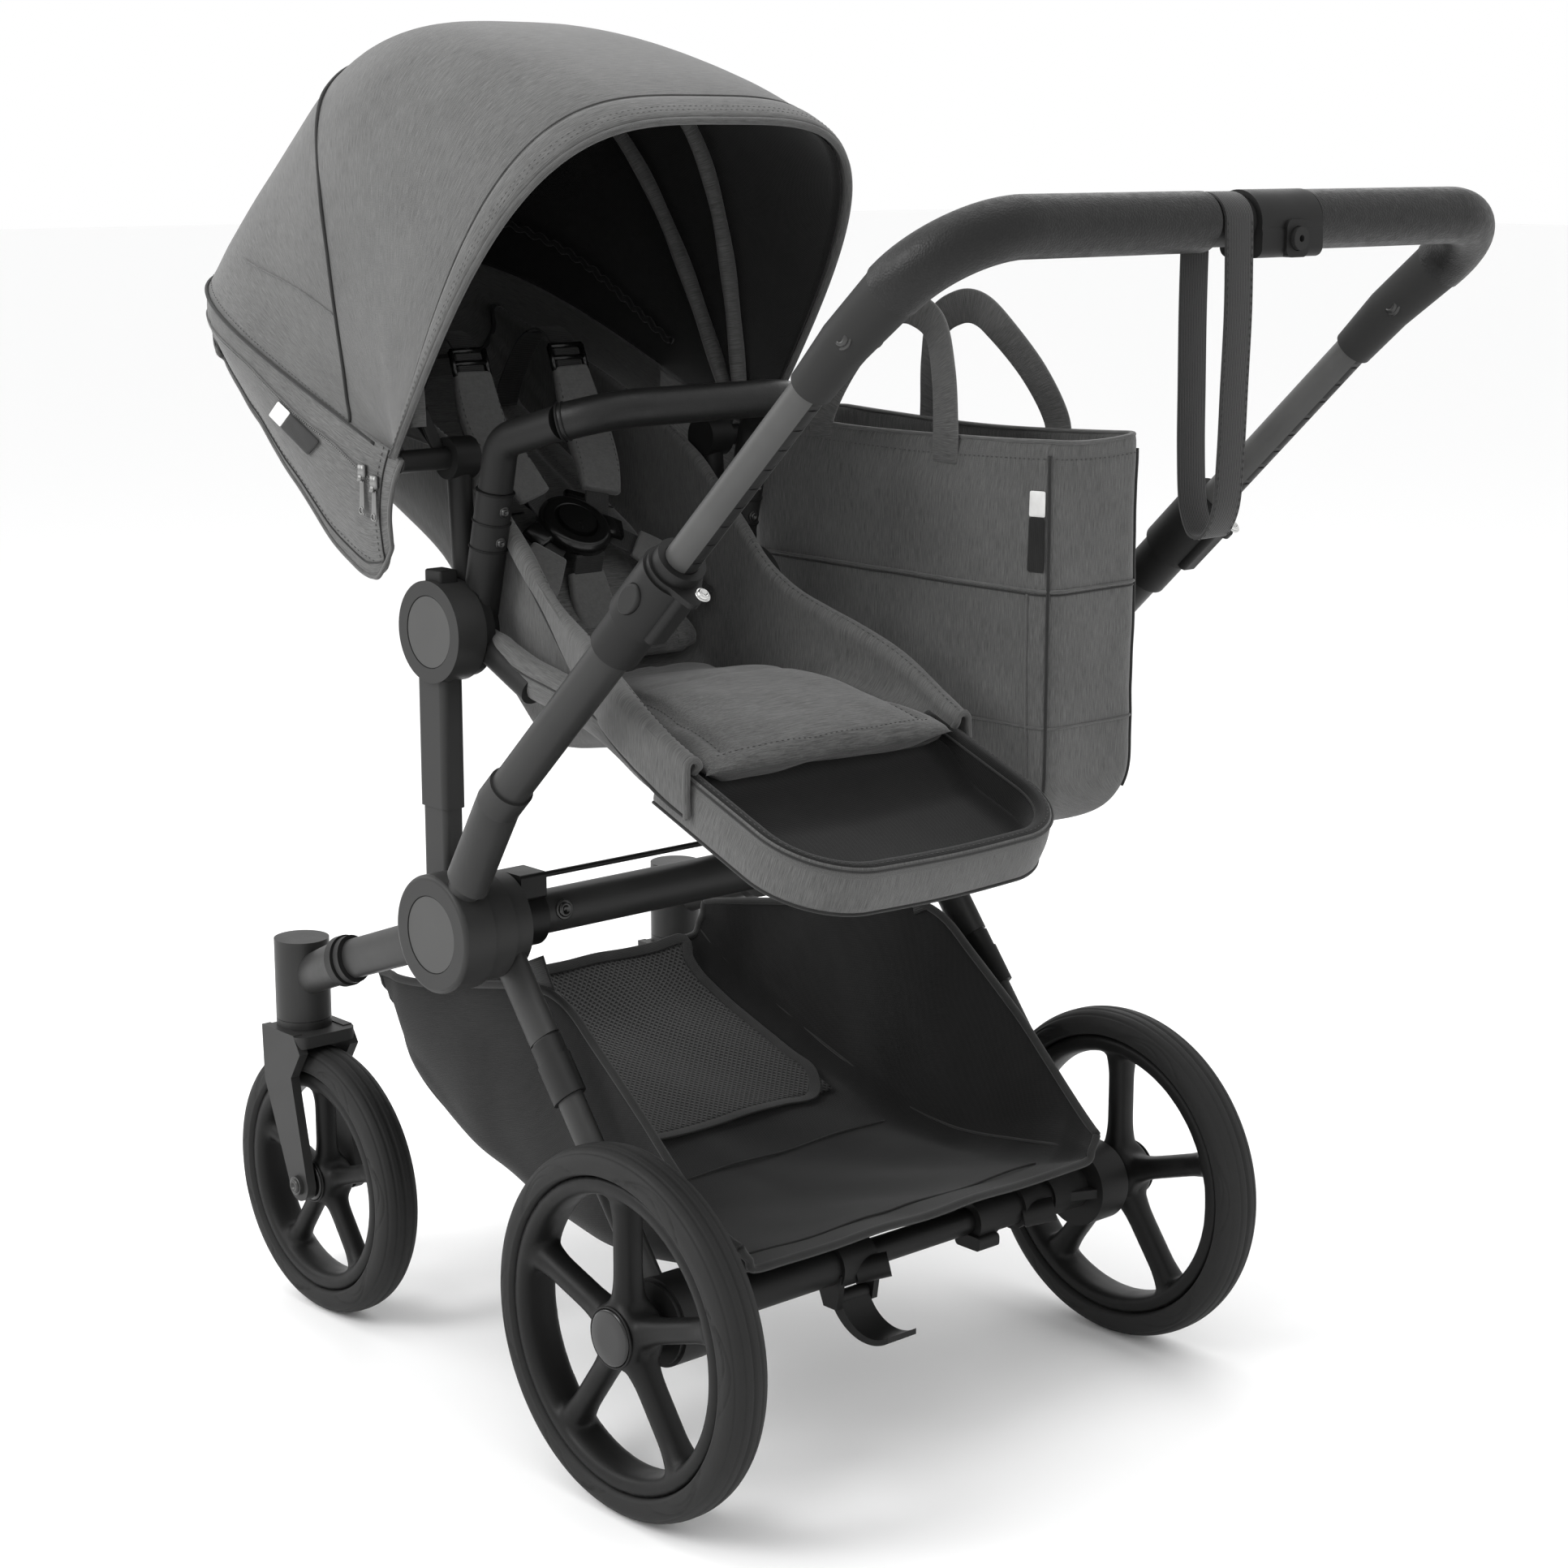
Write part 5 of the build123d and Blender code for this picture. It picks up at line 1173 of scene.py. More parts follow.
# the back pad, with a raised middle panel
back_pad = pad_mesh("back_pad", ((228, 624), (262, 662), (306, 710), (360, 745), (420, 782), (476, 818),
                                 (512, 846)),
                    lambda s: 100 + 4 * sin(pi * s), lambda s: 18, 5.0, 22.0)
puff(back_pad, 0.0052, 4.0, 0.006)
into = Vector((0, 0.75, -0.66))
back_lines = []
for x in (-58, 58):
    back_lines.append(smooth([P(SEAT_MID + x * k, y, z) for k, y,
                              z in ((1.05, 190, 670), (1.0, 240, 720), (0.96, 300, 770),
                                                                       (0.92, 360, 820), (0.9, 430, 880))],
                                                                       120))
for line in back_lines:
    groove(back_pad, lay_on(back_pad, line, into, 0.0), 0.0034, 0.006)
wrinkle(back_pad, 0.0025, 0.05, 5.0)
dress(back_pad, FABRIC_O, "seat")
for k, line in enumerate(back_lines):
    dress(stitches(f"back_pad_stitch_{k}", lay_on(back_pad,
            [p + Vector((0.007 if k else -0.007, 0, 0)) for p in line], into, 0.0004)),
          THREAD, "seat")
for k, (a, z) in enumerate(((300, 770), (372, 826))):
    slot_line = lay_on(back_pad, [P(SEAT_MID + x, a, z) for x in range(-78, -21, 4)], into, 0.0005)
    other = lay_on(back_pad, [P(SEAT_MID - x, a, z) for x in range(-78, -21, 4)], into, 0.0005)
    for tagname, run in (("l", slot_line), ("r", other)):
        if len(run) > 3:
            dress(sweep(f"strap_slot_{k}_{tagname}", run, flat_section(0.0060, 0.0016)), TAG_BLACK, "seat")

# ---- footrest: a hoop covered grey outside and black on top and inside, with a sagging tray
SLOPE = radians(21.0)


def foot(x, along, lift):
    """A point in the footrest's own plane: along is negative down the slope."""
    return P(SEAT_MID + x, -32 + along * cos(SLOPE) - lift * sin(SLOPE),
             573 + along * sin(SLOPE) + lift * cos(SLOPE))


def foot_path(inset, corner=70.0, length=150.0, half=143.5, start=34.0):
    pts = []
    h, l, c = half - inset, length - inset, corner - inset
    for k in range(12):
        pts.append((-h, mix(start, -(l - c), k / 12)))
    for k in range(13):
        a = pi / 2 * k / 12
        pts.append((-(h - c) - c * cos(a), -(l - c) - c * sin(a)))
    for k in range(1, 16):
        pts.append((mix(-(h - c), h - c, k / 16), -l - 2.5 * sin(pi * k / 16)))
    return pts + [(-x, y) for x, y in reversed(pts[:25])]


HOOP_T, HOOP_D = 13.0, 42.0
section = []
for cx, cy, start in ((1, 1, 0), (-1, 1, 90), (-1, -1, 180), (1, -1, 270)):
    for k in range(6):
        a = radians(start + 18 * k)
        section.append((cx * (HOOP_T / 2 - 5.5) + 5.5 * cos(a), cy * (HOOP_D / 2 - 5.5) + 5.5 * sin(a)))
    if cx * cy < 0:                      # the long sides get points between their corners, and bulge a little
        for k in range(1, 7):
            y = cy * (HOOP_D / 2 - 5.5) * (1 - k / 3.5)
            section.append((cx * (HOOP_T / 2 + 1.2 * sin(pi * k / 7)), y))
path2d = foot_path(HOOP_T / 2 + 0.5)


def outward(i):
    """The direction out of the hoop at a point of its path, in the footrest's plane."""
    x, y = path2d[i]
    ax, ay = path2d[max(0, i - 1)]
    bx, by = path2d[min(len(path2d) - 1, i + 1)]
    tx, ty = bx - ax, by - ay
    n = hypot(tx, ty)
    ox, oy = ty / n, -tx / n
    return (-ox, -oy) if ox * x + oy * (y + 40) < 0 else (ox, oy)


def hoop_line(a, b):
    """A line along the hoop at an offset outward and up from its middle."""
    out = []
    for i, (x, y) in enumerate(path2d):
        ox, oy = outward(i)
        out.append(foot(x + ox * a, y + oy * a, b))
    return out


hoop = grid("footrest_hoop_cover", list(zip(*[hoop_line(a, b) for a, b in section])), wrap=True)
hoop.data.materials.append(FABRIC.material)
hoop.data.materials.append(TRAY_CLOTH.material)
for poly in hoop.data.polygons:
    col = min(v % len(section) for v in poly.vertices)
    a, b = section[col]
    poly.material_index = 1 if (b > HOOP_D / 2 - 5.0 and a < 5.0) or a < -3.0 else 0
close_holes(hoop)
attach(hoop, "seat")
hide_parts("footrest_hoop")


dress(sweep("footrest_top_piping", smooth(hoop_line(6.6, HOOP_D / 2 - 3.4), 160), ring(0.0012, 8)), PIPING,
      "seat")
dress(sweep("footrest_low_piping", smooth(hoop_line(5.6, -HOOP_D / 2 + 0.8), 160), ring(0.0013, 8)), PIPING,
      "seat")
dress(sweep("footrest_inner_piping", smooth(hoop_line(-6.6, HOOP_D / 2 - 6), 160), ring(0.0011, 8)), PIPING,
      "seat")
dress(stitches("footrest_stitch", smooth(hoop_line(1.5, HOOP_D / 2 + 0.3), 200)), THREAD, "seat")

tray_rows = []
for i in range(34):
    along = mix(30.0, -136.0, i / 33)
    half_w = 130.0
    if along < -80:
        d = min(56.0, -80 - along)
        half_w = 130.0 - (57.0 - sqrt(max(0.0, 57.0 ** 2 - d * d)))
    row = []
    for k in range(45):
        q = -1 + 2 * k / 44
        x = half_w * q
        edge_rise = max(0.0, (abs(q) - 0.86) / 0.14) ** 2 * 7
        end_rise = max(0.0, (-along - 118) / 18) ** 2 * 6
        sag = -4.5 * cos(q * pi / 2) * sin(pi * min(1.0, max(0.0, (i + 2) / 36)))
        row.append(foot(x, along, -14 + sag + max(edge_rise, end_rise) + 15 * ease((along + 46) / 48)))
    tray_rows.append(row)
tray = grid("footrest_tray_cloth", tray_rows)
thicken(tray, 0.0022, 0.0, 1)
dress(tray, TRAY_CLOTH, "seat", ("footrest_tray",))

# ---------------------------------------------------------------------------------------------------
# Harness: shoulder pads, straps, ladder locks and the round buckle
# ---------------------------------------------------------------------------------------------------


def soft_strap(name, points, width, thick, count, up):
    """A flat strap of black webbing through points."""
    obj = sweep(name, smooth(points, count), flat_section(width, thick), up=up)
    return dress(obj, WEBBING, "seat")


FACE = Vector((0, -0.72, 0.70))         # out of the seat back, towards the sitter
BUCKLE = P(SEAT_MID - 8, 277, 735)
OUT = Vector((0, -0.62, 0.785)).normalized()
RIGHT = Vector((1, 0, 0))
ALONG = OUT.cross(RIGHT).normalized()

for side in (-1, 1):
    x = SEAT_MID + side * 52
    word = "left" if side < 0 else "right"
    line = smooth([P(x - side * 17, 290, 764), P(x - side * 8, 308, 787), P(x, 330, 812),
                   P(x + side * 1, 343, 836), P(x, 354, 866)], 50)
    pad = sweep(f"shoulder_pad_{word}", line, flat_section(0.047, 0.0105, 0.005), up=FACE,
                scale=lambda s: 0.72 + 0.28 * sin(pi * min(1, max(0, 0.5 + (s - 0.5) * 0.86))))
    sub = pad.modifiers.new("sub", "SUBSURF")
    sub.levels = sub.render_levels = 1
    apply_all(pad)
    dress(pad, GREY_WEB, "seat", ("harness",) if side < 0 else ())
    for k, off in enumerate((-0.019, 0.019)):
        dress(stitches(f"shoulder_pad_stitch_{word}_{k}",
                       [p + Vector((off, 0, 0)) + FACE * 0.0053 for p in line[6:-6]]), THREAD, "seat")
    soft_strap(f"shoulder_strap_{word}", [P(x, 350, 856), P(x, 362, 884), P(x, 384, 897), P(x, 410, 886),
                                          P(x, 436, 852), P(x, 448, 826)],
               0.026, 0.0022, 60, Vector((0, -0.9, 0.43)))
    soft_strap(f"lower_strap_{word}", [P(SEAT_MID + side * 24, 283, 747), P(SEAT_MID + side * 30, 290, 757),
                                       P(x - side * 15, 298, 772)],
               0.022, 0.0024, 20, FACE)
    # ladder lock between pad and strap
    lock = P(x, 356, 873)
    frame_pts = [lock + RIGHT * a + Vector((0, 0.35, 0.93)) * b for a,
                 b in ((-0.017, -0.011), (0.017, -0.011), (0.017, 0.011), (-0.017, 0.011))]
    bars = []
    for k in range(4):
        bars.append(sweep(f"lock_{word}_{k}", [frame_pts[k], frame_pts[(k + 1) % 4]], ring(0.0026, 8)))
    bars.append(sweep(f"lock_{word}_mid", [lock - RIGHT * 0.017, lock + RIGHT * 0.017], ring(0.0026, 8)))
    lockpiece = join(f"ladder_lock_{word}", bars)
    dress(lockpiece, GLOSS, "seat")
    # waist strap and its soft pad
    waist = [P(SEAT_MID + side * 30, 270, 730), P(SEAT_MID + side * 52, 256, 716),
             P(SEAT_MID + side * 78, 236, 694), P(SEAT_MID + side * 96, 222, 676)]
    soft_strap(f"waist_strap_{word}", waist, 0.024, 0.0024, 40, FACE)
    wpad = sweep(f"waist_pad_{word}", smooth([P(SEAT_MID + side * 46, 258, 722),
            P(SEAT_MID + side * 62, 247, 710), P(SEAT_MID + side * 82, 231, 690)], 30),
                 flat_section(0.038, 0.0075, 0.0036), up=FACE, scale=lambda s: 0.85 + 0.15 * sin(pi * s))
    dress(wpad, GREY_WEB, "seat")
    tongue = sweep(f"tongue_{word}", [BUCKLE + RIGHT * side * 0.024 + OUT * 0.006,
                                      BUCKLE + RIGHT * side * 0.036 + OUT * 0.005 - ALONG * 0.003,
                                      BUCKLE + RIGHT * side * 0.047 + OUT * 0.003 - ALONG * 0.008],
                   flat_section(0.024, 0.0075, 0.003), up=OUT, scale=lambda s: 1.0 - 0.12 * s)
    dress(tongue, GLOSS, "seat")
    upper = sweep(f"upper_tongue_{word}", [BUCKLE + RIGHT * side * 0.016 + ALONG * 0.022 + OUT * 0.006,
                                           BUCKLE + RIGHT * side * 0.023 + ALONG * 0.036 + OUT * 0.006],
                  flat_section(0.020, 0.0075, 0.003), up=OUT)
    dress(upper, GLOSS, "seat")

soft_strap("crotch_strap", [BUCKLE - ALONG * 0.030 + OUT * 0.003, P(SEAT_MID - 8, 256, 690),
                            P(SEAT_MID - 8, 240, 658), P(SEAT_MID - 8, 214, 631)],
           0.030, 0.0030, 40, FACE)
crotch = sweep("crotch_pad", smooth([P(SEAT_MID - 8, 258, 702), P(SEAT_MID - 8, 248, 676),
                                     P(SEAT_MID - 8, 232, 650)], 30),
               flat_section(0.042, 0.0085, 0.004), up=FACE, scale=lambda s: 0.86 + 0.14 * sin(pi * s))
dress(crotch, GREY_WEB, "seat")

buckle_shape = lathe("buckle_case", [(0.0005, 0.0), (0.0005, 0.030), (0.003, 0.0328), (0.009, 0.0328),
                                     (0.0125, 0.0300), (0.0136, 0.0265),
                                     (0.0128, 0.0240), (0.0136, 0.0215), (0.0130, 0.0188), (0.0082, 0.0178),
                                     (0.0078, 0.0)],
                     BUCKLE, OUT, 72)
dress(buckle_shape, GLOSS, "seat", ("buckle",))

# ---------------------------------------------------------------------------------------------------
# Basket: one sagging cloth tray with a mesh panel and bound edges
# ---------------------------------------------------------------------------------------------------
# Side profile of the basket from back to front: (y, floor z, rim z, half width).
BASKET = ((-44, 190, 212, 205), (-24, 183, 222, 210), (10, 176, 248, 214), (60, 168, 292, 216),
          (115, 161, 334, 216),
          (160, 162, 366, 216), (200, 168, 372, 216), (250, 182, 364, 216), (310, 200, 352, 216),
          (365, 221, 341, 215),
          (410, 242, 334, 208), (440, 266, 330, 197), (464, 294, 326, 190))


def basket_station(s):
    """The basket's profile at s from 0 to 1: a Catmull-Rom spline through BASKET."""
    k = s * (len(BASKET) - 1)
    i = min(len(BASKET) - 2, int(k))
    rows = [BASKET[max(0, min(len(BASKET) - 1, i + d))] for d in (-1, 0, 1, 2)]
    t = k - i
    return [0.5 * (2 * b + (c - a) * t + (2 * a - 5 * b + 4 * c - d) * t * t
                   + (3 * b - a - 3 * c + d) * t ** 3)
            for a, b, c, d in zip(*rows)]


def basket_row(s):
    y, low, high, half = basket_station(s)
    out = []
    corner = min(26.0, 0.45 * (high - low))
    for k in range(15):
        x = (half - corner - 8) * k / 14
        sag = 3.5 * cos(pi * k / 28) * sin(pi * min(1.0, s * 1.2))
        out.append((x, y, low - sag * 0.4 + 1.2 * sin(x * 0.05 + y * 0.04)))
    for k in range(1, 7):
        a = pi / 2 * k / 6
        out.append((half - corner - 8 + corner * sin(a), y, low + corner * (1 - cos(a))))
    for k in range(1, 13):
        t = k / 12
        belly = 3.0 * sin(pi * t) + 1.6 * sin(y * 0.045 + 2 * t)
        out.append((half - 8 + 8 * t + belly * (1 - t), y + 1.5 * t, mix(low + corner, high, t)))
    left = [P(-x, yy, z) for x, yy, z in reversed(out[1:])]
    return left + [P(x, yy, z) for x, yy, z in out]


basket_rows = [basket_row(k / 80) for k in range(81)]
basket = grid("basket_cloth", basket_rows)
wrinkle(basket, 0.0028, 0.07, 1.0)
thicken(basket, 0.0026, 0.0, 1)
fix_normals(basket)
dress(basket, BLACK_CLOTH, "chassis", ("basket",))
BC = len(basket_rows[0])
rim_left = [row[0] for row in basket_rows]
rim_right = [row[-1] for row in basket_rows]
for name, line in (("basket_rim_left", rim_left), ("basket_rim_right", rim_right),
                   ("basket_rim_back", basket_rows[0]),
                   ("basket_rim_front", basket_rows[-1])):
    dress(sweep(name, smooth(line[::4] if len(line) > 60 else line[::3], 150), ring(0.0036, 10)), PIPING,
          "chassis")
for name, col in (("basket_seam_left", 14), ("basket_seam_right", BC - 15)):
    dress(sweep(name, smooth([row[col] + Vector((0, 0, 0.0018)) for row in basket_rows[::4]], 130),
                ring(0.0013, 8)), PIPING, "chassis")
# mesh panel on the front slope, edged with binding
top_s, low_s = 0.985, 0.60
panel_rows, cols = [], range(BC // 2 - 13, BC // 2 + 14)
for k in range(28):
    s = mix(low_s, top_s, k / 27)
    row = basket_row(s)
    lift = Vector((0, -0.0042, 0.0042))
    panel_rows.append([row[c] + lift for c in cols])
panel = grid("basket_mesh_panel", panel_rows)
thicken(panel, 0.0012, 0.0)
dress(panel, MESH, "chassis")
border = [panel_rows[0][k] for k in range(0, 27, 3)] + [r[-1]
        for r in panel_rows[3:-2:3]] + panel_rows[-1][::-1][::3] + [r[0] for r in panel_rows[::-1][3:-2:3]]
dress(sweep("basket_mesh_border", smooth([p + Vector((0, -0.0008, 0.0008)) for p in border], 220, True),
            flat_section(0.011, 0.0022), closed=True), PIPING, "chassis")
# divider seams across the floor
floor_seam = [basket_row(0.50)[c] + Vector((0, 0, 0.0022)) for c in range(BC // 2 - 14, BC // 2 + 15)]
dress(sweep("basket_floor_seam", smooth(floor_seam[::2], 80), ring(0.0012, 8)), PIPING, "chassis")
floor_seam = [basket_row(0.16)[c] + Vector((0, 0, 0.0022)) for c in range(BC // 2 - 14, BC // 2 + 15)]
dress(sweep("basket_back_seam", smooth(floor_seam[::2], 80), ring(0.0012, 8)), PIPING, "chassis")
# hanging tabs from the rim to the frame
for side in (-1, 1):
    word = "left" if side < 0 else "right"
    for k, (y, z, yt, zt) in enumerate(((186, 366, 200, 398), (300, 352, 300, 384))):
        tab = sweep(f"basket_tab_{word}_{k}", smooth([P(side * 214, y, z),
                P(side * 216, (y + yt) / 2, (z + zt) / 2), P(side * 217, yt, zt)], 14),
                    flat_section(0.022, 0.0022), up=(1, 0, 0))
        dress(tab, WEBBING, "chassis")

# ---------------------------------------------------------------------------------------------------
# Bag: a soft tote with a sagging mouth, flat pockets and two strap handles
# ---------------------------------------------------------------------------------------------------
BAG_X, BAG_Y = (96.0, 209.0), (-75.0, 295.0)
BAG_LOW, BAG_HIGH = 497.0, 822.0


def bag_ring(z, cols=160, grow=0.0, sway=True):
    """One level of the bag: rounded corners, sides that belly out, a bottom that tucks in."""
    t = (z - BAG_LOW) / (BAG_HIGH - BAG_LOW)
    tuck = 1.0
    if z < BAG_LOW + 52:
        q = (BAG_LOW + 52 - z) / 52
        tuck = 1 - (1 - sqrt(max(0.0, 1 - q * q))) * 0.27
    hx = (BAG_X[1] - BAG_X[0]) / 2 - 1.5 + grow
    hy = ((BAG_Y[1] - BAG_Y[0]) / 2 - 1.5 + grow) * tuck
    hx *= 1 - (1 - tuck) * 1.6
    cx, cy = (BAG_X[0] + BAG_X[1]) / 2, (BAG_Y[0] + BAG_Y[1]) / 2
    corner = 15.0
    dense = []
    for qx, qy, start in ((1, 1, 0), (-1, 1, 90), (-1, -1, 180), (1, -1, 270)):
        for k in range(9):
            a = radians(start + 11.25 * k)
            dense.append((cx + qx * (hx - corner) + corner * cos(a),
                          cy + qy * (hy - corner) + corner * sin(a)))
    dense.append(dense[0])
    ringpts = even([Vector((x, y, 0)) for x, y in dense], cols, True)
    out = []
    for p in ringpts:
        x, y = p.x, p.y
        u, v = (x - cx) / hx, (y - cy) / hy
        belly = 5.0 * sin(pi * min(1.0, max(0.0, t))) ** 0.8 * (1 - v * v) * (1 if abs(u) > 0.9 else 0)
        x += (1 if u > 0 else -1) * belly * 0.55
        mouth = max(0.0, (t - 0.86) / 0.14)
        if sway:
            x += mouth * (2.5 * sin(y * 0.028 + (2.2 if u > 0 else 0.4)) - 5.0 * (1 if u > 0
                    else -1) * (1 - v * v) * (abs(u) > 0.9))
        dz = -5.5 * mouth * (1 - v * v) * (abs(u) > 0.9) - 3.5 * mouth * (1 - u * u)
        out.append(P(x, y, z + dz))
    return out


levels = [BAG_LOW + 52 * (1 - cos(pi / 2 * k / 9)) for k in range(10)] + [mix(BAG_LOW + 52, BAG_HIGH,
        k / 34) for k in range(1, 35)]
outer_rows = [bag_ring(z) for z in levels]
floor_mid = outer_rows[0]
centre = sum(floor_mid, Vector()) / 160
bottom_rows = [[p.lerp(centre, 1 - q) - Vector((0, 0, 0.0016 * (1 - q))) for p in floor_mid]
               for q in (0.02, 0.25, 0.5, 0.75, 0.93)]
inner_levels = [z for z in levels if z > BAG_LOW + 14][::-1]
inner_rows = [bag_ring(z, grow=-4.0) for z in inner_levels]
inner_floor = inner_rows[-1]
inner_centre = sum(inner_floor, Vector()) / 160
inner_rows += [[p.lerp(inner_centre, 1 - q) for p in inner_floor] for q in (0.8, 0.5, 0.2, 0.02)]
lip = [a.lerp(b, 0.5) + Vector((0, 0, 0.0016)) for a, b in zip(outer_rows[-1], inner_rows[0])]
bag = grid("bag_body_cloth", bottom_rows + outer_rows + [lip] + inner_rows, wrap=True)
fix_normals(bag)
wrinkle(bag, 0.0026, 0.085, 4.0, keep=lambda co: 1.0 if co.z < 0.80 else 0.45)
wrinkle(bag, 0.0009, 0.025, 8.0)
sub = bag.modifiers.new("sub", "SUBSURF")
sub.levels = sub.render_levels = 1
apply_all(bag)
dress(bag, FABRIC_V, "bag", ("bag_body",))


def bag_face(points, lift):
    """Lines drawn on the bag: points (x, y, z) near its outer wall are laid onto it."""
    tree = BVHTree.FromObject(bag, bpy.context.evaluated_depsgraph_get())
    mid = P((BAG_X[0] + BAG_X[1]) / 2, (BAG_Y[0] + BAG_Y[1]) / 2, 0)
    out = []
    for p in points:
        spot, normal, _, _ = tree.find_nearest(p)
        away = Vector((spot.x - mid.x, spot.y - mid.y, 0))
        if normal.dot(away) < 0:
            normal = -normal
        out.append(spot + normal * lift / 1000)
    return out


def level_line(z):
    """A level line just outside the bag."""
    return bag_ring(z, 240, 3.0, False)


seam_z = 701.0
pocket_seam = bag_face(level_line(seam_z), 0.5)
dress(sweep("bag_pocket_seam", pocket_seam, ring(0.0014, 8), closed=True), PIPING_GREY, "bag")
dress(sweep("bag_pocket_shadow", bag_face(level_line(seam_z - 3.2), 0.05), ring(0.0009, 6), closed=True),
      PIPING, "bag")
dress(sweep("bag_low_seam", bag_face(level_line(588.0), 0.4), ring(0.0011, 8), closed=True), PIPING_GREY,
      "bag")
for name, x, y in (("bag_corner_piping_a", 94, -77), ("bag_corner_piping_b", 211, -77),
                   ("bag_corner_piping_c", 94, 297), ("bag_corner_piping_d", 211, 297)):
    run = [P(x, y, z) for z in range(520, 820, 10)]
    dress(sweep(name, smooth(bag_face(run, 0.7), 90), ring(0.0016, 8)), PIPING, "bag")
edge_run = [P(BAG_X[0] - 2, -52, z) for z in range(530, 702, 8)]
dress(sweep("bag_pocket_edge", smooth(bag_face(edge_run, 0.6), 60), ring(0.0012, 8)), PIPING_GREY, "bag")
dress(sweep("bag_mouth_binding", [p + Vector((0, 0, 0.0004)) for p in bag_ring(BAG_HIGH, 200, -2.0)],
            flat_section(0.0050, 0.0036, 0.0016), closed=True),
      PIPING_GREY, "bag")
dress(stitches("bag_mouth_stitch", bag_face(level_line(BAG_HIGH - 14), 0.5)), THREAD, "bag")
tag_pts = bag_face([P(92, y, z) for y, z in ((-72, 782), (-72, 716), (-52, 716), (-52, 782))], 1.6)
bag_tag = tag("bag_tag", tag_pts, 0.32)
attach(bag_tag, "bag")

for name, x, far, y0, y1, first in (("bag_handle_a", 101.5, 126, 50, 200, True),
                                    ("bag_handle_b", 203.5, 172, 20, 170, False)):
    pts = [P(x, y0, 796), P(x, y0, 826), P(mix(x, far, 0.45), y0 + 14, 866), P(far, y0 + 38, 903),
           P(far, (y0 + y1) / 2 - 12, 918),
           P(far, (y0 + y1) / 2 + 12, 918), P(far, y1 - 38, 903), P(mix(x, far, 0.45), y1 - 14, 866),
           P(x, y1, 826), P(x, y1, 796)]
    handle = sweep(name, smooth(pts, 110), flat_section(0.0290, 0.0030), up=(1, 0, 0))
    dress(handle, FABRIC_V, "bag", ("bag_handles",) if first else ())
    for k, off in enumerate((-0.012, 0.012)):
        line = smooth(pts, 110)
        path = []
        for p, (t, side, top) in zip(line, frames(line, up=(1, 0, 0))):
            path.append(p + side * off + top * 0.0016)
        dress(stitches(f"{name}_stitch_{k}", path[3:-3]), THREAD, "bag")

# ---------------------------------------------------------------------------------------------------
# Wheels: tyres with grooves and leaf shapes, smooth deep rims, caps and axle bolts
# ---------------------------------------------------------------------------------------------------
X_AXIS = Vector((1, 0, 0))


def leaf_depth(angle, v):
    """How deep the leaf grooves cut at an angle round the tyre and a share v from rim to tread."""
    u = (angle / (2 * pi) * 6) % 1.0
    deep = 0.0
    for start, length, low, high in ((0.05, 0.62, 0.02, 0.92), (0.10, 0.40, 0.02, 0.62)):
        w = (u - start) / length
        if 0 < w < 1:
            arc = mix(low, high, sin(pi * w) ** 0.8 * (0.55 + 0.45 * w))
            deep = max(deep, max(0.0, 1 - abs(v - arc) / 0.055))
    return deep


def make_tyre(name, x, y, radius, width, body, node):
    """A solid tyre with ring grooves and leaf-shaped cuts in its walls; lengths in mm."""
    inner = radius - 22.0
    section = []
    for k in range(65):                  # from the outer side's rim line over the tread to the inner side's
        t = -1 + 2 * k / 64
        a = t * radians(104)
        sign, past = (1 if a >= 0 else -1), abs(a) - pi / 2
        if past < 0:
            w = width / 2 * sign * abs(sin(a)) ** 0.82
            r = radius - 15.0 * (1 - abs(cos(a)) ** 0.9)
        else:
            w = width / 2 * sign * (1 - 0.10 * past)
            r = radius - 15.0 - 24.0 * past
        section.append((w, r))
    count = 300
    rows = []
    for i in range(count):
        th = 2 * pi * i / count
        row = []
        for w, r in section:
            depth = 0.0
            v = (r - inner - 1.5) / (radius - inner - 4.0)
            for line, size in ((0.0, 1.5), (0.42, 1.1), (0.78, 0.9)):
                depth += size * max(0.0, 1 - abs(abs(w) - line * width / 2) / 1.0)
            if abs(w) > width * 0.24:
                depth += 1.0 * leaf_depth(th if w > 0 else -th, v)
            rr = r - (depth if abs(w) < width * 0.44 else depth * 0.35)
            ww = w - (0.9 * depth * (1 if w > 0 else -1) if abs(w) >= width * 0.40 else 0)
            row.append(P(x + ww, y + rr * sin(th), radius + rr * cos(th)))
        w0, w1 = section[-1][0], section[0][0]
        for k in range(5):
            q = (k + 1) / 6
            row.append(P(x + mix(w0, w1, q), y + (inner - 1.2) * sin(th), radius + (inner - 1.2) * cos(th)))
        rows.append(row)
    rows.append([p.copy() for p in rows[0]])
    obj = grid(name, rows, wrap=True)
    weld(obj, 2e-6)
    fix_normals(obj)
    dress(obj, RUBBER, body, (node,))
    return obj


def spoke_width(s):
    """A spoke is wider where it meets the hub and the ring; s runs from 0 to 1 along it."""
    return 1.0 + 0.30 * ease(1 - s * 3.2) + 0.26 * ease((s - 0.72) / 0.28)


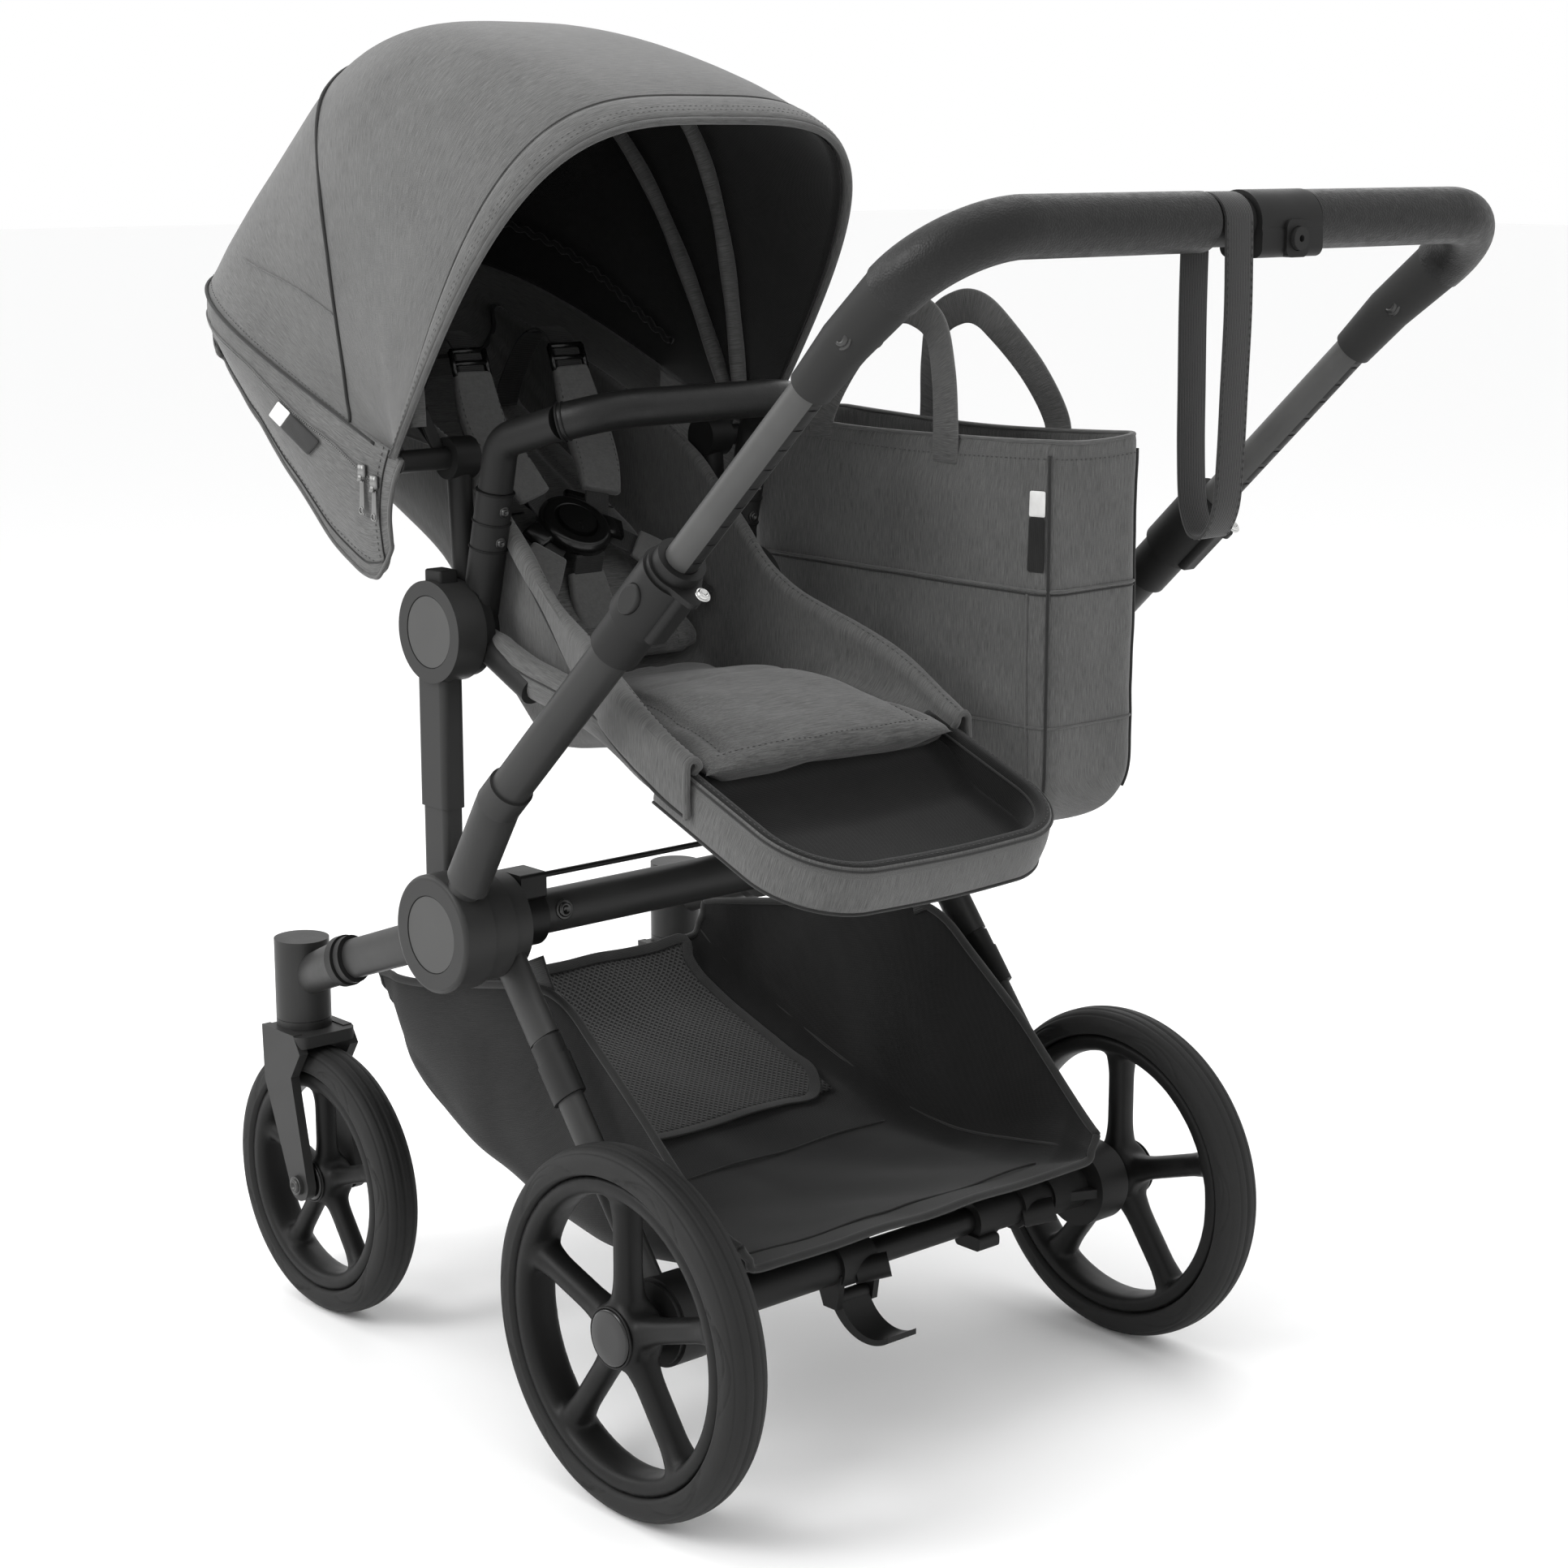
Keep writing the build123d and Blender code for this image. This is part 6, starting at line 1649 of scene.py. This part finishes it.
def blob_rim(name, side, x, y, radius, width, body, node, cap_r):
    """The rim, its five spokes and its hub melted into one smooth casting."""
    outer = radius - 22.6
    parts = []
    centre = P(x, y, radius)
    half = (width - 4) / 2
    parts.append(lathe(name + "_ring", [(a / 1000, r / 1000) for a, r in (
        (-half, outer - 3), (-half, outer - 12), (-half + 6, outer - 15.5), (0, outer - 17),
        (half - 6, outer - 15.5),
        (half, outer - 12), (half, outer - 3), (half - 2, outer - 0.4), (-half + 2, outer - 0.4),
        (-half, outer - 3))], centre, X_AXIS, 144))
    hub_half = half - 1
    parts.append(lathe(name + "_hub", [(a / 1000, r / 1000) for a, r in (
        (-hub_half, 0), (-hub_half, cap_r + 1), (-hub_half + 5, cap_r + 5), (0, cap_r + 4),
        (hub_half - 5, cap_r + 5), (hub_half, cap_r + 1), (hub_half, 0))],
        centre, X_AXIS, 72))
    for k in range(5):
        a = 2 * pi * k / 5
        direction = Vector((0, sin(a), cos(a)))
        path = [centre + direction * mix(cap_r - 8, outer - 10, q / 12) / 1000 for q in range(13)]
        thick = radius / 150
        section = flat_section(0.020 * thick, 0.0245 * thick, 0.0095 * thick)
        parts.append(sweep(f"{name}_spoke_{k}", path, section, up=X_AXIS, scale=spoke_width))
    for part in parts:
        close_holes(part)
    obj = join(name, parts)
    remesh = obj.modifiers.new("remesh", "REMESH")
    remesh.mode, remesh.voxel_size = "VOXEL", 0.0026
    soften = obj.modifiers.new("soften", "SMOOTH")
    soften.factor, soften.iterations = 0.5, 9
    apply_all(obj)
    dress(obj, WHEEL, body, (node,))
    face = x + side * (hub_half + 0.2)
    cap = dome(name + "_cap", P(face, y, radius), X_AXIS * side, cap_r / 1000, 0.0030, 0.10, 64)
    dress(cap, GLOSS if side * x > 0 else WHEEL, body)
    groove_ring = sweep(name + "_cap_ring", [P(face + side * 0.4, y + (cap_r + 1.2) * sin(2 * pi * k / 72),
            radius + (cap_r + 1.2) * cos(2 * pi * k / 72)) for k in range(72)],
                        ring(0.0011, 8), closed=True)
    dress(groove_ring, TUBE_BLACK, body)


def screw(name, centre, axis, radius, look, body):
    """A socket screw: washer, domed head and a hex recess."""
    axis = Vector(axis).normalized()
    r = radius / 1000
    parts = []
    parts.append(lathe(name + "_w", [(0.0, r * 0.8), (0.0, r * 1.32), (0.0008, r * 1.32), (0.0011, r * 1.2),
                                     (0.0011, r * 0.8)], centre, axis, 40))
    parts.append(lathe(name + "_h", [(0.0009, r), (0.0022, r * 0.98), (0.0029, r * 0.80),
                                     (0.0030, r * 0.50), (0.0012, r * 0.46), (0.0010, 0.0)], centre, axis,
                                     36))
    piece = join(name, parts)
    return dress(piece, look, body)


DARK_STEEL = moulded("screw_dark", 0.06, 0.32, 0.00004)
DARK_STEEL.shader.inputs["Metallic"].default_value = 0.9
for side, word in ((-1, "left"), (1, "right")):
    make_tyre(f"rear_tread_{word}", side * 283, 0, 150, 40, f"rear_wheel_{word}", f"rear_tyre_{word}")
    blob_rim(f"rear_wheel_casting_{word}", side, side * 283, 0, 150, 40, f"rear_wheel_{word}",
             f"rear_rim_{word}", 23)
    make_tyre(f"front_tread_{word}", side * 221, 517, 125, 39, f"front_wheel_{word}", f"front_tyre_{word}")
    blob_rim(f"front_wheel_casting_{word}", side, side * 221, 517, 125, 39, f"front_wheel_{word}",
             f"front_rim_{word}", 17)
    low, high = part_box(f"fork_{word}")
    for face in (-1, 1):
        x_face = (low.x if face < 0 else high.x) * 1000
        screw(f"axle_bolt_{word}_{'inner' if face * side < 0 else 'outer'}", P(x_face, 517, 125),
              (face, 0, 0), 6.5, DARK_STEEL, f"caster_{word}")

# ---------------------------------------------------------------------------------------------------
# Small parts: rings, screws, seams and the wrist strap
# ---------------------------------------------------------------------------------------------------


def circle(centre, axis, radius, count=72):
    axis = Vector(axis).normalized()
    side = axis.orthogonal().normalized()
    top = axis.cross(side)
    return [centre + (side * cos(2 * pi * k / count) + top * sin(2 * pi * k / count)) * radius / 1000
            for k in range(count)]


def band_ring(name, centre, axis, radius, thick, body):
    """A thin dark ring let into a joint."""
    return dress(sweep(name, circle(centre, axis, radius), ring(thick / 1000, 8), closed=True), GROOVE, body)


GROOVE = moulded("groove_dark", 0.004, 0.6)
for side, word in ((-1, "left"), (1, "right")):
    # dark joint rings around the pivot discs
    low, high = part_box("hub_discs")
    face = (low.x if side < 0 else high.x) * 1000
    band_ring(f"hub_ring_{word}", P(face - side * 0.6, 219, 430), X_AXIS, 32.4, 0.75, "handle_arms")
    arm = radians(43.7)
    direction = Vector((0, -cos(arm), sin(arm)))

    screw(f"collar_screw_{word}", P(side * 290.2, -101.6, 740.8), direction, 4.6, STEEL, "handle_arms")
    screw(f"elbow_bolt_{word}", P(side * (292 + 14.5), -264, 932), X_AXIS * side, 7.0, DARK_STEEL,
          "handlebar")
    screw(f"elbow_bolt_inner_{word}", P(side * (292 - 14.5), -264, 932), X_AXIS * -side, 7.0, DARK_STEEL,
          "handlebar")
    screw(f"cross_tube_bolt_{word}", P(side * 186, 219 - 18.0, 434), (0, -1, 0.15), 6.5, DARK_STEEL,
          "chassis")
    # bumper: clip grooves and screws
    leg_x = SEAT_MID + side * 133.5
    clip_foot, clip_top = Vector((leg_x, 236.0, 684.0)), Vector((leg_x, 212.0, 785.0))
    clip_dir = (clip_top - clip_foot).normalized()
    for k, (d, r) in enumerate(((-1.0, 15.3), (-26.0, 15.2), (-48.0, 15.2))):
        c = clip_top + clip_dir * d
        band_ring(f"clip_ring_{word}_{k}", P(*c), clip_dir, r, 0.9, "seat")
    for k, d in enumerate((-14.0, -40.0)):
        c = clip_top + clip_dir * d + Vector((0, -14.2, -3.2))
        screw(f"clip_screw_{word}_{k}", P(*c), (0, -1, -0.2), 3.4, DARK_STEEL, "seat")
    ring_at = P(SEAT_MID + side * 118.5, 146, 842)
    toward = (P(SEAT_MID + side * 91.5, 112, 853) - ring_at).normalized()
    band_ring(f"bumper_joint_{word}", ring_at + toward * 0.001, toward, 15.1, 1.1, "bumper")
    band_ring(f"bumper_joint_b_{word}", ring_at + toward * 0.005, toward, 15.2, 0.7, "bumper")

# seat-hub rings ride with the chassis, which holds the hubs
low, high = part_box("seat_hub_discs")
for face, word, turn in ((low.x, "left", -1), (high.x, "right", 1)):
    band_ring(f"seat_hub_ring_{word}", P(face * 1000 - turn * 0.6, 252, 670), X_AXIS, 29.9, 0.75, "chassis")

# wrist strap: a soft loop of webbing over the bare bar
loop = []
for k in range(15):
    a = pi * k / 14
    loop.append(P(-35, -350 + 19.3 * cos(a), 1003 + 19.3 * sin(a)))
loop += [P(-35.5, -370.6, 980), P(-37, -372.5, 940), P(-38, -372, 890), P(-37, -370, 845),
         P(-36, -366.5, 808), P(-35.5, -358, 789),
         P(-35, -350, 785.5), P(-34.5, -342, 789), P(-33.5, -333.8, 808), P(-33, -330.5, 845),
         P(-32, -328.6, 890), P(-33, -328.5, 940), P(-34.5, -329.8, 980)]
strap_line = smooth(loop, 170, True)
rows = []
for p, (t, side_v, top) in zip(strap_line, frames(strap_line, True, (1, 0, 0))):
    rows.append([p + top * a + side_v * b for a, b in flat_section(0.0290, 0.0023)])
rows.append([p.copy() for p in rows[0]])
strap = grid("wrist_strap_loop", rows, wrap=True)
weld(strap, 2e-6)
fix_normals(strap)
dress(strap, WEBBING, "strap", ("wrist_strap",))
for k, off in enumerate((-0.0125, 0.0125)):
    path = [p + top * off + side_v * 0.0014 for p, (t, side_v, top) in zip(strap_line,
            frames(strap_line, True, (1, 0, 0)))]
    dress(stitches(f"wrist_strap_stitch_{k}", path[20:-4]), THREAD, "strap")
